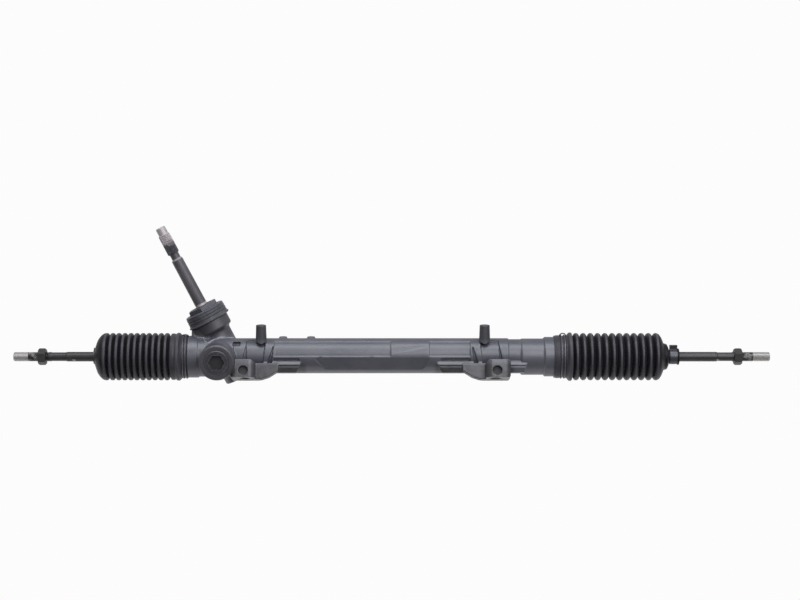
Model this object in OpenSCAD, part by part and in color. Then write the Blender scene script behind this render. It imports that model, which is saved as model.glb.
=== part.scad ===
// Manual rack and pinion steering gear, in millimetres.
// X runs along the rack, Z is up, and the yoke plug faces -Y. The origin lies on the rack's axis,
// midway between the two subframe holes. Distances called "reach" are measured from the origin
// outwards, to the left or to the right.

/* [Layout] */
// Distance between the two subframe holes
lug_spacing = 370; // [350:2:400]
// Rack travel to the left, until the right socket meets its stop
travel_left = 78; // [70:1:78]
// Rack travel to the right, until the left socket meets its stop
travel_right = 58; // [50:1:58]
// Gap that is left at a stop at the end of the travel
stop_gap = 0.3; // [0.2:0.1:0.6]
// Depth of the right stop inside the housing's end face
stop_depth = 6.8; // [6:0.2:9]

/* [Housing] */
// Outside diameter of the long tube
tube_d = 52; // [50:0.5:54]
// Height of the long tube's own axis above the rack's axis
tube_rise = 1.8; // [0:0.2:2.4]
// Bore of the tube, around the rack
rack_bore_d = 28; // [27:0.5:30]
// Reach of the housing's left end face
end_reach_left = 298.5; // [296:0.5:299.5]
// Reach of the housing's right end face
end_reach_right = 296; // [294:1:300]
// Diameter of the two seats that the bellows cuffs grip
seat_d = 58.4; // [57:0.2:60]
// Counterbore at both ends, which clears the ball sockets
end_bore_d = 42; // [41:0.5:45]
// Diameter of the band between the left cuff and the pinion block
band_d = 62.8; // [61:0.2:66]
// Diameter of the collar beside the right cuff
collar_d = 59.4; // [58.6:0.2:64]
// Diameter of the sleeve beside the collar
sleeve_d = 54.6; // [53:0.2:58]
// Diameter of the thin neck between the sleeve and the right rib
neck_d = 49; // [47:0.5:52]
// Diameter of the barrel at the pinion block
block_d = 60; // [58:0.5:62]
// Depth of the shallow panels on the front of the tube
panel_depth = 1.2; // [0.6:0.1:1.6]
// Depth of the deeper pockets between the ribs
pocket_depth = 3.6; // [2.4:0.2:4.4]
// Depth of the smooth fields behind the upright bosses
field_depth = 2.2; // [1.2:0.2:2.4]

/* [Subframe lugs] */
// Tilt of the lug's hole from the vertical, its mouth towards the front
lug_tilt = 20; // [16:1:24]
// Distance of the hole's axis in front of the tube's axis, square to the hole
lug_forward = 30; // [28:0.5:33]
// Distance of the machined pad below the tube's axis, along the hole
pad_drop = 38.5; // [36:0.5:41]
// Height of the lug along its hole
lug_height = 24; // [22:0.5:27]
// Tapped hole's wall diameter, for an M14 thread
lug_hole_d = 12.5; // [10:0.5:13]
// Depth of the tapped hole
lug_hole_depth = 20; // [16:0.5:21]
// Diameter of the chamfer at the mouth of the left hole
mouth_d_left = 14.4; // [13.5:0.1:15.5]
// Diameter of the wider mouth of the right hole
mouth_d_right = 17; // [15:0.5:18]
// Diameter of the round cored recess in the lug's front
cored_recess_d = 13.6; // [12:0.2:15]

/* [Upright bosses] */
// X of the left boss
boss_x_left = -163; // [-165:0.5:-161]
// X of the right boss
boss_x_right = 170; // [168:0.5:173]
// Height of the bosses' top faces above the rack's axis
boss_top = 50; // [44:0.5:55]
// Distance of the bosses in front of the rack's axis
boss_forward = 13; // [11:0.5:15]
// Diameter at the top face
boss_top_d = 15; // [14:0.5:17]
// Diameter at the root, on the rack's axis
boss_root_d = 18.4; // [17.5:0.2:20]
// Tapped hole's wall diameter, for an M8 thread
boss_hole_d = 6.8; // [6:0.1:7.2]
// Depth of the tapped hole
boss_hole_depth = 20; // [14:0.5:24]

/* [Rack] */
// Diameter of the rack bar
rack_d = 26; // [25:0.1:26.2]
// Height of the toothed flat above the rack's axis
rack_flat = 8.1; // [7.8:0.1:8.6]
// Normal module of the teeth
gear_module = 1.9; // [1.85:0.01:1.95]
// Teeth of the pinion
pinion_teeth = 7; // [6:1:8]
// Teeth of the rack
rack_teeth = 25; // [23:1:26]
// Pressure angle
pressure_angle = 20; // [20:1:22]
// Play between a pinion tooth and the rack's gap
backlash = 0.2; // [0.15:0.01:0.3]
// Diameter of the socket's stud, which screws into the rack's end
stud_d = 16; // [14:0.5:18]
// Length of that stud
stud_length = 24; // [18:1:30]

/* [Pinion tower] */
// Lean of the pinion from the vertical, towards the left
lean = 27.3; // [25:0.1:29]
// X where the pinion's axis crosses the height of the rack's axis
pinion_x = -215; // [-216:0.2:-213]
// Diameter of the tower's lower shaft
tower_d = 44.5; // [43:0.5:46]
// Diameter of the cup around the upper bearing
cup_d = 56; // [54:0.5:58]
// Height of the cup's rim along the axis
cup_top = 59; // [58:0.5:61]
// Diameter of the neck that the dust boot covers
collet_d = 54; // [51:0.5:54.5]
// Height of that neck's top
collet_top = 74; // [73:0.5:75]
// Diameter of the boss around the lower bearing
lower_boss_d = 45; // [42:0.5:46]
// Depth of the lower boss's end face below the crossing
lower_boss_drop = 38; // [37:0.5:40]
// Upper bearing, outside diameter
bearing_od = 42; // [40:0.5:43]
// Upper bearing, bore
bearing_id = 20; // [19.8:0.1:21]
// Upper bearing, width
bearing_w = 12; // [11:0.5:12]
// Diameter of the balls
ball_d = 6.4; // [6:0.1:6.6]
// Number of balls
ball_count = 9; // [7:1:10]
// Journal of the lower needle bearing
journal_d = 14; // [12:0.5:14.5]
// Diameter of a needle
needle_d = 2; // [1.8:0.1:2.2]
// Number of needles
needle_count = 14; // [10:1:16]
// Lock nut, across its flats
lock_nut_af = 41; // [40:0.5:44]
// Height of the lock nut's hexagon
lock_nut_height = 6.5; // [6:0.5:9]
// Outside diameter of the dust boot's ring
boot_d = 61.5; // [59:0.5:64]
// Outside diameter of the dust boot's lip
boot_lip_d = 65; // [63:0.5:67]

/* [Pinion shaft] */
// Diameter where the shaft leaves the lock nut
shaft_base_d = 18.2; // [17.6:0.1:18.8]
// Diameter at the top of the taper
shaft_top_d = 17.2; // [16:0.1:17.5]
// Height of the top of the taper above the crossing
taper_top = 164; // [150:1:180]
// Diameter of the neck below the spline
neck_shaft_d = 13.6; // [12:0.2:15]
// Length of that neck
neck_length = 9; // [7:0.5:12]
// Diameter over the spline
spline_d = 17.7; // [17:0.1:18.5]
// Number of serrations
spline_teeth = 36; // [30:1:40]
// Length of the spline
spline_length = 32.5; // [28:0.5:40]
// Diameter of the plain tip
tip_d = 14.8; // [14:0.2:15.6]
// Length of the plain tip
tip_length = 11.5; // [9:0.5:14]
// Bore of the hollow tip
tip_bore_d = 9; // [7:0.2:10]

/* [Yoke] */
// X of the yoke's axis
yoke_x = -226; // [-227:0.2:-225]
// Diameter of the boss around the yoke
yoke_boss_d = 53; // [50:0.5:54]
// Distance of the boss's front face from the rack's axis
yoke_boss_reach = 57; // [55:0.5:60]
// Diameter of the plunger
yoke_d = 30; // [28:0.2:30]
// Diameter of the adjusting plug
plug_d = 36.6; // [35:0.2:38]
// Thickness of the plug
plug_t = 18; // [16:0.5:19]
// Hexagon socket of the plug, across its flats
plug_hex_af = 22; // [17:0.5:24]
// Depth of that socket
plug_hex_depth = 9; // [7:0.5:10]
// Thickness of the liner between the plunger and the rack
liner_t = 1.2; // [0.8:0.1:1.6]
// Wire of the yoke's spring
spring_wire = 2.4; // [2:0.1:2.8]

/* [Ball joints and tie rods] */
// Diameter of the ball
rod_ball_d = 26; // [25:0.2:26.4]
// Thickness of the plastic seat around the ball
seat_t = 2.4; // [2:0.1:2.6]
// Outside diameter of the socket
socket_d = 40; // [39:0.2:40.4]
// Length of the socket from its stud face to the ball's centre
socket_back = 24; // [21:0.5:26]
// Length from a ball's centre to the rod's tip
rod_length = 205; // [200:1:220]
// Diameter of the rod's shank
shank_d = 14.4; // [13.6:0.1:14.6]
// Diameter of the waist behind the thread, and of the thread's core under the jam nut
waist_d = 13; // [12.4:0.1:13.6]
// Diameter of the outer thread
thread_d = 14; // [13.8:0.1:14.4]
// Length of the thread
thread_length = 56; // [50:1:60]
// Length of the waist
waist_length = 22; // [18:1:26]
// Jam nut, across its flats
jam_nut_af = 22; // [21:0.5:24]
// Thickness of the jam nut
jam_nut_t = 11.5; // [9:0.5:13]
// Distance from the left rod's tip to its jam nut
jam_nut_from_tip_left = 37; // [30:0.5:42]
// Distance from the right rod's tip to its jam nut
jam_nut_from_tip_right = 42; // [34:0.5:43]
// Thickness of the lock washer between the rack and a socket
washer_t = 1.5; // [1:0.1:2]
// Diameter of that washer
washer_d = 32; // [30:0.5:34]

/* [Bellows] */
// Radius of a convolution's crest
crest_r = 35.5; // [34.5:0.1:37]
// Radius of a convolution's root
root_r = 26.5; // [26:0.1:28]
// Wall of the bellows
bellows_wall = 1.9; // [1.6:0.1:2.1]
// Radius of the bead beside a large cuff
bead_r = 36.8; // [36:0.1:38]
// Convolutions of the left bellows
crests_left = 11; // [8:1:12]
// Distance from the housing's left end to the first crest
first_crest_gap_left = 6.5; // [6:0.5:9]
// Distance between two crests of the left, pressed together, bellows
crest_pitch_left = 9.06; // [8.9:0.02:9.3]
// Convolutions of the right bellows
crests_right = 12; // [9:1:13]
// Distance from the housing's right end to the first crest
first_crest_gap_right = 11.5; // [11:0.5:14]
// Distance between two crests of the right, stretched, bellows
crest_pitch_right = 10.87; // [10.6:0.02:11.2]
// Wire of the large clamps
clamp_wire = 2; // [1.6:0.1:2.4]
// Height of the left small clamp's ear above the rod's axis
ear_top_left = 13.2; // [12.5:0.1:15]
// Height of the right small clamp's ear above the rod's axis
ear_top_right = 17.6; // [13:0.1:19]

/* [Hidden] */
$fn = 64;

LEFT = -1;
RIGHT = 1;
eps = 0.5;             // how far a cutter runs past the face that it opens
fit = 0.05;            // radial clearance of a running fit
slip = 0.1;            // radial clearance of a sliding or spherical fit
soft_gap = 0.3;        // gap between a soft piece and the piece of another body that it grips

paint = [0.27, 0.28, 0.32];
black_paint = [0.14, 0.13, 0.14];
rubber = [0.13, 0.13, 0.15];
steel = [0.62, 0.62, 0.63];
plastic = [0.85, 0.83, 0.76];

// Stations along the rack
hole_reach = lug_spacing / 2;
band_out = end_reach_left - 25.9;
band_in = band_out - 15;
collar_out = end_reach_right - 22.6;
sleeve_out = collar_out - 15;
sleeve_in = hole_reach + 41;
neck_in = hole_reach + 20.5;
block_in = hole_reach + 19;
strip_reach = hole_reach - 45;          // half the length of the strip under the tube
stop_ring_t_left = 3;
stop_ring_t_right = 5;
yoke_stop_wall = 2.2;   // metal between the yoke's bore and the left stop ring
stop_left = -yoke_x + yoke_d / 2 + yoke_stop_wall + stop_ring_t_left;
stop_right = end_reach_right - stop_depth;
rack_end_left = stop_left + travel_right + stop_gap;
rack_end_right = stop_right + travel_left + stop_gap;
ball_reach_left = rack_end_left + washer_t + socket_back;
ball_reach_right = rack_end_right + washer_t + socket_back;
bush_length = 22;
bush_r = rack_bore_d / 2 + 3;
clip_t = 1.4;
facet_turn = 22;        // how far the lower flat is turned under the tube
facet_depth = 2.2;
lug_front = 14.5;       // how far a lug reaches in front of its hole

// Bellows
cuff_in_r = seat_d / 2;
cuff_out_r = cuff_in_r + 2.4;
small_cuff_r = shank_d / 2 + soft_gap;
small_cuff_out_r = small_cuff_r + 2.6;
small_clamp_t = 0.9;
first_crest_left = end_reach_left + first_crest_gap_left;
first_crest_right = end_reach_right + first_crest_gap_right;
last_crest_left = first_crest_left + (crests_left - 1) * crest_pitch_left;
last_crest_right = first_crest_right + (crests_right - 1) * crest_pitch_right;
left_face = last_crest_left + 18;       // reach of the left bellows' end
right_face = last_crest_right + 10.4;   // reach of the foot of the right bellows' last flank

// Rack and pinion
pitch_r = gear_module * pinion_teeth / 2;
base_r = pitch_r * cos(pressure_angle);
rack_addendum = 0.4 * gear_module;
pinion_addendum = gear_module * 1.026;
root_gap = 0.25;
tooth_pitch = PI * gear_module;
rack_pitch_x = tooth_pitch / cos(lean);
pinion_tooth_t = 0.536 * tooth_pitch;
rack_gap_w = pinion_tooth_t + backlash;
pinion_tip_r = pitch_r + pinion_addendum;
pinion_root_r = pitch_r - rack_addendum - root_gap;
pinion_y = rack_flat + pitch_r - rack_addendum;
gap_root_y = pinion_y - pinion_tip_r - root_gap;
toothed_half = rack_teeth * rack_pitch_x / 2;
mesh_shift = (travel_left - travel_right) / 2;

// Pinion stations, along its axis from the crossing
gear_half = 16.5;
bearing_top = cup_top - 3;
bearing_bottom = bearing_top - bearing_w;
pitch_circle_r = (bearing_od + bearing_id) / 4;
race_t = (bearing_od - bearing_id) / 4 - ball_d * 0.29;
needle_top = -18;
needle_bottom = -30;
needle_ring_r = journal_d / 2 + needle_d / 2 + fit;
shell_in_r = journal_d / 2 + needle_d + 2 * fit;
shell_out_r = shell_in_r + 1.6;
cap_top = -33;
boot_top = 78;
nut_body_d = 44;
nut_top = boot_top + lock_nut_height;
seal_r = 15;
seal_t = 8;
neck_top = taper_top + neck_length;
spline_top = neck_top + spline_length;
shaft_tip = spline_top + tip_length;
pinch_r = 5.2;

// Yoke stations, out from the rack's axis
plug_face = yoke_boss_reach + 1.5;
plug_back = plug_face - plug_t;
yoke_back = plug_back - 1;
yoke_front = 6;
liner_r = rack_d / 2 + slip;
o_ring_at = 25;
o_ring_wire = 2.6;
spring_r = 8.5;
spring_floor = yoke_back - 8;
spring_roof = plug_back + 3;

// Ball joints
ball_r = rod_ball_d / 2;
seat_in_r = ball_r + slip;
seat_out_r = seat_in_r + seat_t;
cavity_r = seat_out_r + slip;
seat_open = 6;
socket_front = 12;

module along_x(x) translate([x, 0, 0]) rotate([0, 90, 0]) children();

module rod_x(x0, x1, r) along_x(x0) cylinder(h = x1 - x0, r = r);

module ring_x(x0, x1, r_out, r_in) difference() {
    rod_x(x0, x1, r_out);
    rod_x(x0 - eps, x1 + eps, r_in);
}

// A ring or shaft turned about X, from [reach, radius] points, on one side of the origin
module turned(side, outline) mirror([side < 0 ? 1 : 0, 0, 0]) rotate([0, 90, 0])
    rotate_extrude() polygon([for (p = outline) [p[1], p[0]]]);

module on_pinion_axis(s = 0) translate([pinion_x, pinion_y, 0]) rotate([0, -lean, 0])
    translate([0, 0, s]) children();

// A solid turned about the pinion's axis, from [radius, height] points
module on_pinion(outline) on_pinion_axis() rotate_extrude() polygon(outline);

// The frame of the yoke: z runs out towards the front
module on_yoke_axis(d = 0) translate([yoke_x, 0, 0]) rotate([90, 0, 0])
    translate([0, 0, d]) children();

// The frame of a lug: z runs along its hole, y away from the front
module in_lug_frame(side) translate([side * lug_spacing / 2, 0, 0]) rotate([-lug_tilt, 0, 0])
    mirror([side > 0 ? 1 : 0, 0, 0]) children();

module hex_prism(af, h) cylinder(h = h, r = af / 2 / cos(30), $fn = 6);

function arc(cx, cy, r, a0, a1, n) =
    [for (i = [0:n]) [cx + r * cos(a0 + (a1 - a0) * i / n), cy + r * sin(a0 + (a1 - a0) * i / n)]];

// Housing

// A pocket in the front of the tube, with the outline that the front view shows
module front_pocket(outline, depth) translate([0, 0, tube_rise]) intersection() {
    rotate([90, 0, 0]) linear_extrude(height = tube_d / 2 + 4) polygon(outline);
    ring_x(-230, 230, tube_d / 2 + 3, tube_d / 2 - depth);
}

function box_outline(x0, x1, z0, z1) = [[x0, z0], [x1, z0], [x1, z1], [x0, z1]];

// The ribs and fields of one side. The field ends out_top and out_low outside the lug's hole, at its
// top and foot, and a wedge beside it widens downwards. Another wedge lies inside the upright boss.
module side_pockets(side, boss_x, out_top, out_low, wedge_w) {
    hole_x = side * hole_reach;
    overlap = 0.5;
    front_pocket([[hole_x + side * out_low, -9], [boss_x - side * 3.2, -9],
        [boss_x - side * 7, 24.2], [hole_x + side * out_top, 24.2]], field_depth);
    front_pocket([[hole_x + side * (out_low - overlap), -5],
        [hole_x + side * (out_low + wedge_w), -5], [hole_x + side * (out_top - overlap), 22]],
        pocket_depth);
    front_pocket([[boss_x - side * 9, -9], [boss_x - side * 15.8, -9],
        [boss_x - side * 19.8, 23]], pocket_depth);
}

module panels() {
    panel_left_in = -hole_reach + 41.4;
    panel_left_out = hole_reach - 154.6;
    panel_right_in = hole_reach - 97.6;
    panel_right_out = hole_reach - 36.1;
    panel_low = 2.7;
    panel_high = 23.4;
    front_pocket(box_outline(panel_left_in, panel_left_out, panel_low, panel_high), panel_depth);
    front_pocket(box_outline(panel_right_in, panel_right_out, panel_low, panel_high), panel_depth);
    front_pocket(box_outline(panel_left_in, panel_left_in + 37.6, -4.4, -0.6), pocket_depth);
    front_pocket(box_outline(panel_right_out - 43.9, panel_right_out, -4.4, -0.6), pocket_depth);
    front_pocket(box_outline(-hole_reach - 20, -hole_reach - 9, 17.5, 22.5), pocket_depth);
}

// The flat under the panels, which runs out at both ends
module lower_flat() translate([0, 0, tube_rise]) rotate([facet_turn, 0, 0])
    translate([0, -tube_d / 2 + facet_depth, 0])
    rotate([90, 0, 0]) linear_extrude(height = 6)
        polygon([[-84, 11], [90, 11], [76, -12], [-66, -12]]);

// The rail that joins a lug to the front of the tube
module rail(x0, x1, x2) intersection() {
    translate([min(x0, x1), 0, 0]) rotate([90, 0, 90]) linear_extrude(height = abs(x1 - x0))
        polygon([[-tube_d / 2 + 5, -2], [-tube_d / 2 + 0.4, -3.4], [-tube_d / 2 - 3, -7],
            [-tube_d / 2 - 3, -8.6], [-tube_d / 2 - 1.6, -9], [-tube_d / 2 - 1.6, -10],
            [-tube_d / 2 - 3, -10.6], [-tube_d / 2 - 2.2, -19], [-tube_d / 2 + 6, -22]]);
    rotate([90, 0, 0]) linear_extrude(height = tube_d)
        polygon([[x0, 0], [x1, 0], [x2, -24], [x0, -24]]);
}

module lug_body() {
    pad_z = -pad_drop;
    top_z = pad_z + lug_height;
    front_y = -lug_forward - lug_front;
    back_y = -lug_forward + 20;
    web_front = -lug_forward + 5;
    intersection() {
        translate([0, front_y, 0]) rotate([90, 0, 0]) mirror([0, 0, 1])
            linear_extrude(height = back_y - front_y)
                polygon([[-22.5, top_z + 3], [-22.5, pad_z + 3], [-20, pad_z], [14, pad_z],
                    [14, top_z - 1], [9, top_z + 3]]);
        translate([0, 0, pad_z]) linear_extrude(height = lug_height + 4)
            polygon(concat(arc(-12.5, front_y + 11, 11, 180, 260, 4),
                arc(4, front_y + 11, 11, 280, 360, 4), [[15, back_y], [-23.5, back_y]]));
    }
    translate([0, web_front, 0]) rotate([90, 0, 0]) mirror([0, 0, 1])
        linear_extrude(height = back_y - web_front)
            polygon([[0, top_z], [0, pad_z], [18, pad_z], [24, pad_z + 0.8], [34, pad_z + 4],
                [48, pad_z + 13], [48, top_z]]);
}

module lug_cuts(mouth_d) {
    pad_z = -pad_drop;
    mouth_depth = 1.6;
    recess_depth = 5;
    translate([0, -lug_forward, pad_z - eps]) cylinder(h = lug_hole_depth + eps, d = lug_hole_d);
    translate([0, -lug_forward, pad_z - eps]) cylinder(h = mouth_depth + eps, d = mouth_d);
    translate([-2.5, -lug_forward - lug_front + recess_depth, pad_z + 10]) rotate([90, 0, 0])
        cylinder(h = recess_depth + eps, d = cored_recess_d);
}

module upright_boss(x) translate([x, -boss_forward, 0])
    cylinder(h = boss_top, d1 = boss_root_d, d2 = boss_top_d);

module tower_body() {
    on_pinion(concat([[0, -4], [tower_d / 2, -4], [tower_d / 2, 36]],
        arc(tower_d / 2 + 5.5, 37.5, 5.5, 190, 130, 4),
        arc(cup_d / 2 - 3, 45.5, 3, -50, 0, 4),
        [[cup_d / 2, cup_top], [collet_d / 2, cup_top], [collet_d / 2, collet_top],
            [0, collet_top]]));
    on_pinion([[0, -lower_boss_drop], [lower_boss_d / 2 - 1.5, -lower_boss_drop],
        [lower_boss_d / 2, -lower_boss_drop + 1.5], [lower_boss_d / 2, 2], [0, 2]]);
    // The shoulder that carries the cup's left side down to the band
    intersection() {
        translate([0, pinion_y + 30, 0]) rotate([90, 0, 0]) linear_extrude(height = 60)
            polygon([[-band_out + 3, 12], [-band_out + 3, 37.4], [pinion_x - 47, 41.2],
                [pinion_x - 36, 42], [pinion_x - 25, 36], [pinion_x - 25, 12]]);
        translate([-band_out + 27, pinion_y, 0]) cylinder(h = 60, r = 24);
    }
}

module tower_bore() on_pinion([[0, -lower_boss_drop - eps],
    [lower_boss_d / 2 - 8, -lower_boss_drop - eps], [lower_boss_d / 2 - 8, cap_top],
    [shell_out_r, cap_top], [shell_out_r, needle_top], [rack_bore_d / 2 - 1.6, needle_top],
    [rack_bore_d / 2 - 1.6, bearing_bottom], [bearing_od / 2, bearing_bottom],
    [bearing_od / 2, bearing_top], [nut_body_d / 2, bearing_top],
    [nut_body_d / 2, collet_top + eps], [0, collet_top + eps]]);

module yoke_boss() on_yoke_axis() rotate_extrude()
    polygon([[0, 0], [yoke_boss_d / 2, 0], [yoke_boss_d / 2, yoke_boss_reach - 2],
        [yoke_boss_d / 2 - 2, yoke_boss_reach], [0, yoke_boss_reach]]);

module yoke_bores() on_yoke_axis() {
    cylinder(h = yoke_boss_reach, r = yoke_d / 2 + slip);
    translate([0, 0, plug_back]) cylinder(h = plug_t, d = plug_d);
}

module rack_housing() color(paint) difference() {
    union() {
        rod_x(-end_reach_left, -band_in, seat_d / 2);
        rod_x(-band_out, -band_in, band_d / 2);
        rod_x(-band_in - 1, -block_in, block_d / 2);
        translate([0, 0, tube_rise]) {
            rod_x(-block_in - 1, neck_in, tube_d / 2);
            rod_x(neck_in - 1, sleeve_in + 1, neck_d / 2);
        }
        turned(RIGHT, [[sleeve_in - 3, 0], [sleeve_in - 3, neck_d / 2], [sleeve_in, sleeve_d / 2],
            [sleeve_out, sleeve_d / 2], [sleeve_out + 1.5, collar_d / 2],
            [collar_out, collar_d / 2], [collar_out, seat_d / 2],
            [end_reach_right - 1, seat_d / 2], [end_reach_right, seat_d / 2 - 1],
            [end_reach_right, 0]]);
        tower_body();
        yoke_boss();
        for (side = [LEFT, RIGHT]) in_lug_frame(side) lug_body();
        rail(-hole_reach + 9, -hole_reach + 83.4, -hole_reach + 73);
        rail(hole_reach - 5, hole_reach - 88, hole_reach - 77);
        rail(hole_reach + 15, hole_reach + 49, hole_reach + 43);
        upright_boss(boss_x_left);
        upright_boss(boss_x_right);
        for (x = [-131.6, -89.6]) translate([x, 8, tube_rise]) cylinder(h = tube_d / 2 + 1.4, d = 12);
        for (x = [-73, 2.7]) translate([x, -tube_d / 2 + 1, tube_rise + 3]) sphere(r = 2.5);
        translate([-strip_reach, -3, tube_rise - tube_d / 2 - 0.6]) cube([2 * strip_reach, 6, 6]);
    }
    rod_x(-end_reach_left - eps, end_reach_right + eps, rack_bore_d / 2);
    rod_x(-end_reach_left - eps, -stop_left + stop_ring_t_left, end_bore_d / 2);
    rod_x(stop_right - stop_ring_t_right, end_reach_right + eps, end_bore_d / 2);
    rod_x(stop_right - stop_ring_t_right - bush_length, stop_right, bush_r);
    rod_x(stop_right, stop_right + clip_t, end_bore_d / 2 + 1.5);
    tower_bore();
    yoke_bores();
    side_pockets(LEFT, boss_x_left, 0, 0, 6.5);
    side_pockets(RIGHT, boss_x_right, 6, 7.4, 4.6);
    panels();
    lower_flat();
    in_lug_frame(LEFT) lug_cuts(mouth_d_left);
    in_lug_frame(RIGHT) lug_cuts(mouth_d_right);
    for (x = [boss_x_left, boss_x_right]) translate([x, -boss_forward, boss_top - boss_hole_depth])
        cylinder(h = boss_hole_depth + eps, d = boss_hole_d);
}

// Pinion: fixed pieces

module lower_pinion_cap() color(paint) on_pinion([[0, -lower_boss_drop + 0.6],
    [lower_boss_d / 2 - 8, -lower_boss_drop + 0.6], [lower_boss_d / 2 - 8, cap_top],
    [journal_d / 2, cap_top], [journal_d / 2 - 2, cap_top - 2], [0, cap_top - 2]]);

module needle_bearing_shell() color(steel) on_pinion([[shell_in_r, needle_bottom],
    [shell_out_r, needle_bottom], [shell_out_r, needle_top], [shell_in_r, needle_top]]);

module bearing_ring(r0, r1) on_pinion_axis(bearing_bottom) rotate_extrude() difference() {
    translate([r0, 0]) square([r1 - r0, bearing_w]);
    translate([pitch_circle_r, bearing_w / 2]) circle(d = ball_d + 2 * fit, $fn = 40);
}

module upper_bearing_outer_ring() color(steel) bearing_ring(bearing_od / 2 - race_t, bearing_od / 2);

module upper_bearing_inner_ring() color(steel) bearing_ring(bearing_id / 2, bearing_id / 2 + race_t);

module upper_bearing_balls() color(steel) on_pinion_axis(bearing_bottom + bearing_w / 2)
    for (i = [0:ball_count - 1]) rotate([0, 0, i * 360 / ball_count])
        translate([pitch_circle_r, 0, 0]) sphere(d = ball_d - fit, $fn = 32);

module upper_bearing_cage() color(plastic) on_pinion_axis(bearing_bottom + bearing_w / 2)
    difference() {
        translate([0, 0, -4.4]) cylinder(h = 8.8, r = pitch_circle_r + 1.1);
        translate([0, 0, -5]) cylinder(h = 10, r = pitch_circle_r - 1.1);
        for (i = [0:ball_count - 1]) rotate([0, 0, i * 360 / ball_count]) rotate([0, 90, 0])
            cylinder(h = pitch_circle_r + 4, d = ball_d + 2 * fit);
    }

module lower_needle_rollers() color(steel) on_pinion_axis(needle_bottom + 1)
    for (i = [0:needle_count - 1]) rotate([0, 0, i * 360 / needle_count])
        translate([needle_ring_r, 0, 0])
            cylinder(h = needle_top - needle_bottom - 2, d = needle_d, $fn = 24);

module pinion_lock_nut() color(paint) on_pinion_axis() difference() {
    union() {
        translate([0, 0, bearing_top]) cylinder(h = boot_top - bearing_top, d = nut_body_d);
        intersection() {
            translate([0, 0, boot_top]) rotate([0, 0, 30])
                hex_prism(lock_nut_af, lock_nut_height);
            translate([0, 0, boot_top - 1]) cylinder(h = lock_nut_height + 1,
                r1 = lock_nut_af * 0.66, r2 = lock_nut_af * 0.555);
        }
    }
    translate([0, 0, bearing_top - eps]) cylinder(h = nut_top, r = shaft_base_d / 2 + 2.2);
    translate([0, 0, nut_top - seal_t]) cylinder(h = seal_t + eps, r = seal_r);
    translate([0, 0, bearing_top - eps]) cylinder(h = 4 + eps, r = bearing_od / 2 - race_t - 0.5);
}

module pinion_oil_seal() color(rubber) on_pinion([[seal_r, nut_top - seal_t],
    [seal_r, nut_top - 0.4], [shaft_base_d / 2 + 1.6, nut_top - 0.4],
    [shaft_base_d / 2 + slip, nut_top + 0.8], [shaft_base_d / 2 + slip, nut_top - 3],
    [shaft_base_d / 2 + 2.6, nut_top - 4.4], [seal_r - 2, nut_top - 4.4],
    [seal_r - 2, nut_top - seal_t]]);

module pinion_dust_boot() color(rubber) on_pinion(concat(
    [[collet_d / 2, cup_top + 0.4], [boot_lip_d / 2 - 0.6, cup_top + 0.4],
        [boot_lip_d / 2, cup_top + 1.2], [boot_lip_d / 2, cup_top + 2.4],
        [boot_d / 2 + 0.4, cup_top + 3.6]],
    [for (g = [0:1]) each [[boot_d / 2, cup_top + 6.5 + 5 * g],
        [boot_d / 2 - 1.3, cup_top + 7.3 + 5 * g], [boot_d / 2, cup_top + 8.1 + 5 * g]]],
    arc(boot_d / 2 - 2, boot_top - 2, 2, 0, 90, 4),
    [[nut_body_d / 2 + 1.6, boot_top], [nut_body_d / 2, boot_top - 1],
        [nut_body_d / 2, collet_top], [collet_d / 2, collet_top]]));

// Pinion: turning pieces

function involute_turn(r) = let (a = acos(min(1, base_r / r))) tan(a) * 180 / PI - a;

// Half of a tooth's angle at radius r
function tooth_half(r) = pinion_tooth_t / (2 * pitch_r) * 180 / PI
    + involute_turn(pitch_r) - involute_turn(max(r, base_r));

// One flank from inside the root cylinder to the tip, as [radius, half angle] pairs
function flank() = concat([[pinion_root_r - 0.4, tooth_half(base_r)]],
    [for (i = [0:6]) let (r = base_r + (pinion_tip_r - base_r) * i / 6) [r, tooth_half(r)]]);

function polar(r, a) = [r * cos(a), r * sin(a)];

module gear_outline() polygon([for (t = [0:pinion_teeth - 1]) each
    let (mid = -90 + t * 360 / pinion_teeth, f = flank())
        concat([for (p = f) polar(p[0], mid - p[1])],
            [for (i = [len(f) - 1:-1:0]) polar(f[i][0], mid + f[i][1])])]);

module spline_outline() {
    depth = 0.7;
    polygon([for (t = [0:spline_teeth - 1]) each let (step = 360 / spline_teeth)
        [polar(spline_d / 2 - depth, t * step), polar(spline_d / 2, (t + 0.35) * step),
            polar(spline_d / 2, (t + 0.65) * step)]]);
}

module pinch_groove() on_pinion_axis(neck_top + spline_length * 0.52) rotate([0, 0, -50])
    translate([spline_d / 2 + 2, 0, 0]) rotate([90, 0, 0])
        cylinder(h = 2 * spline_d, r = pinch_r, center = true);

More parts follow.
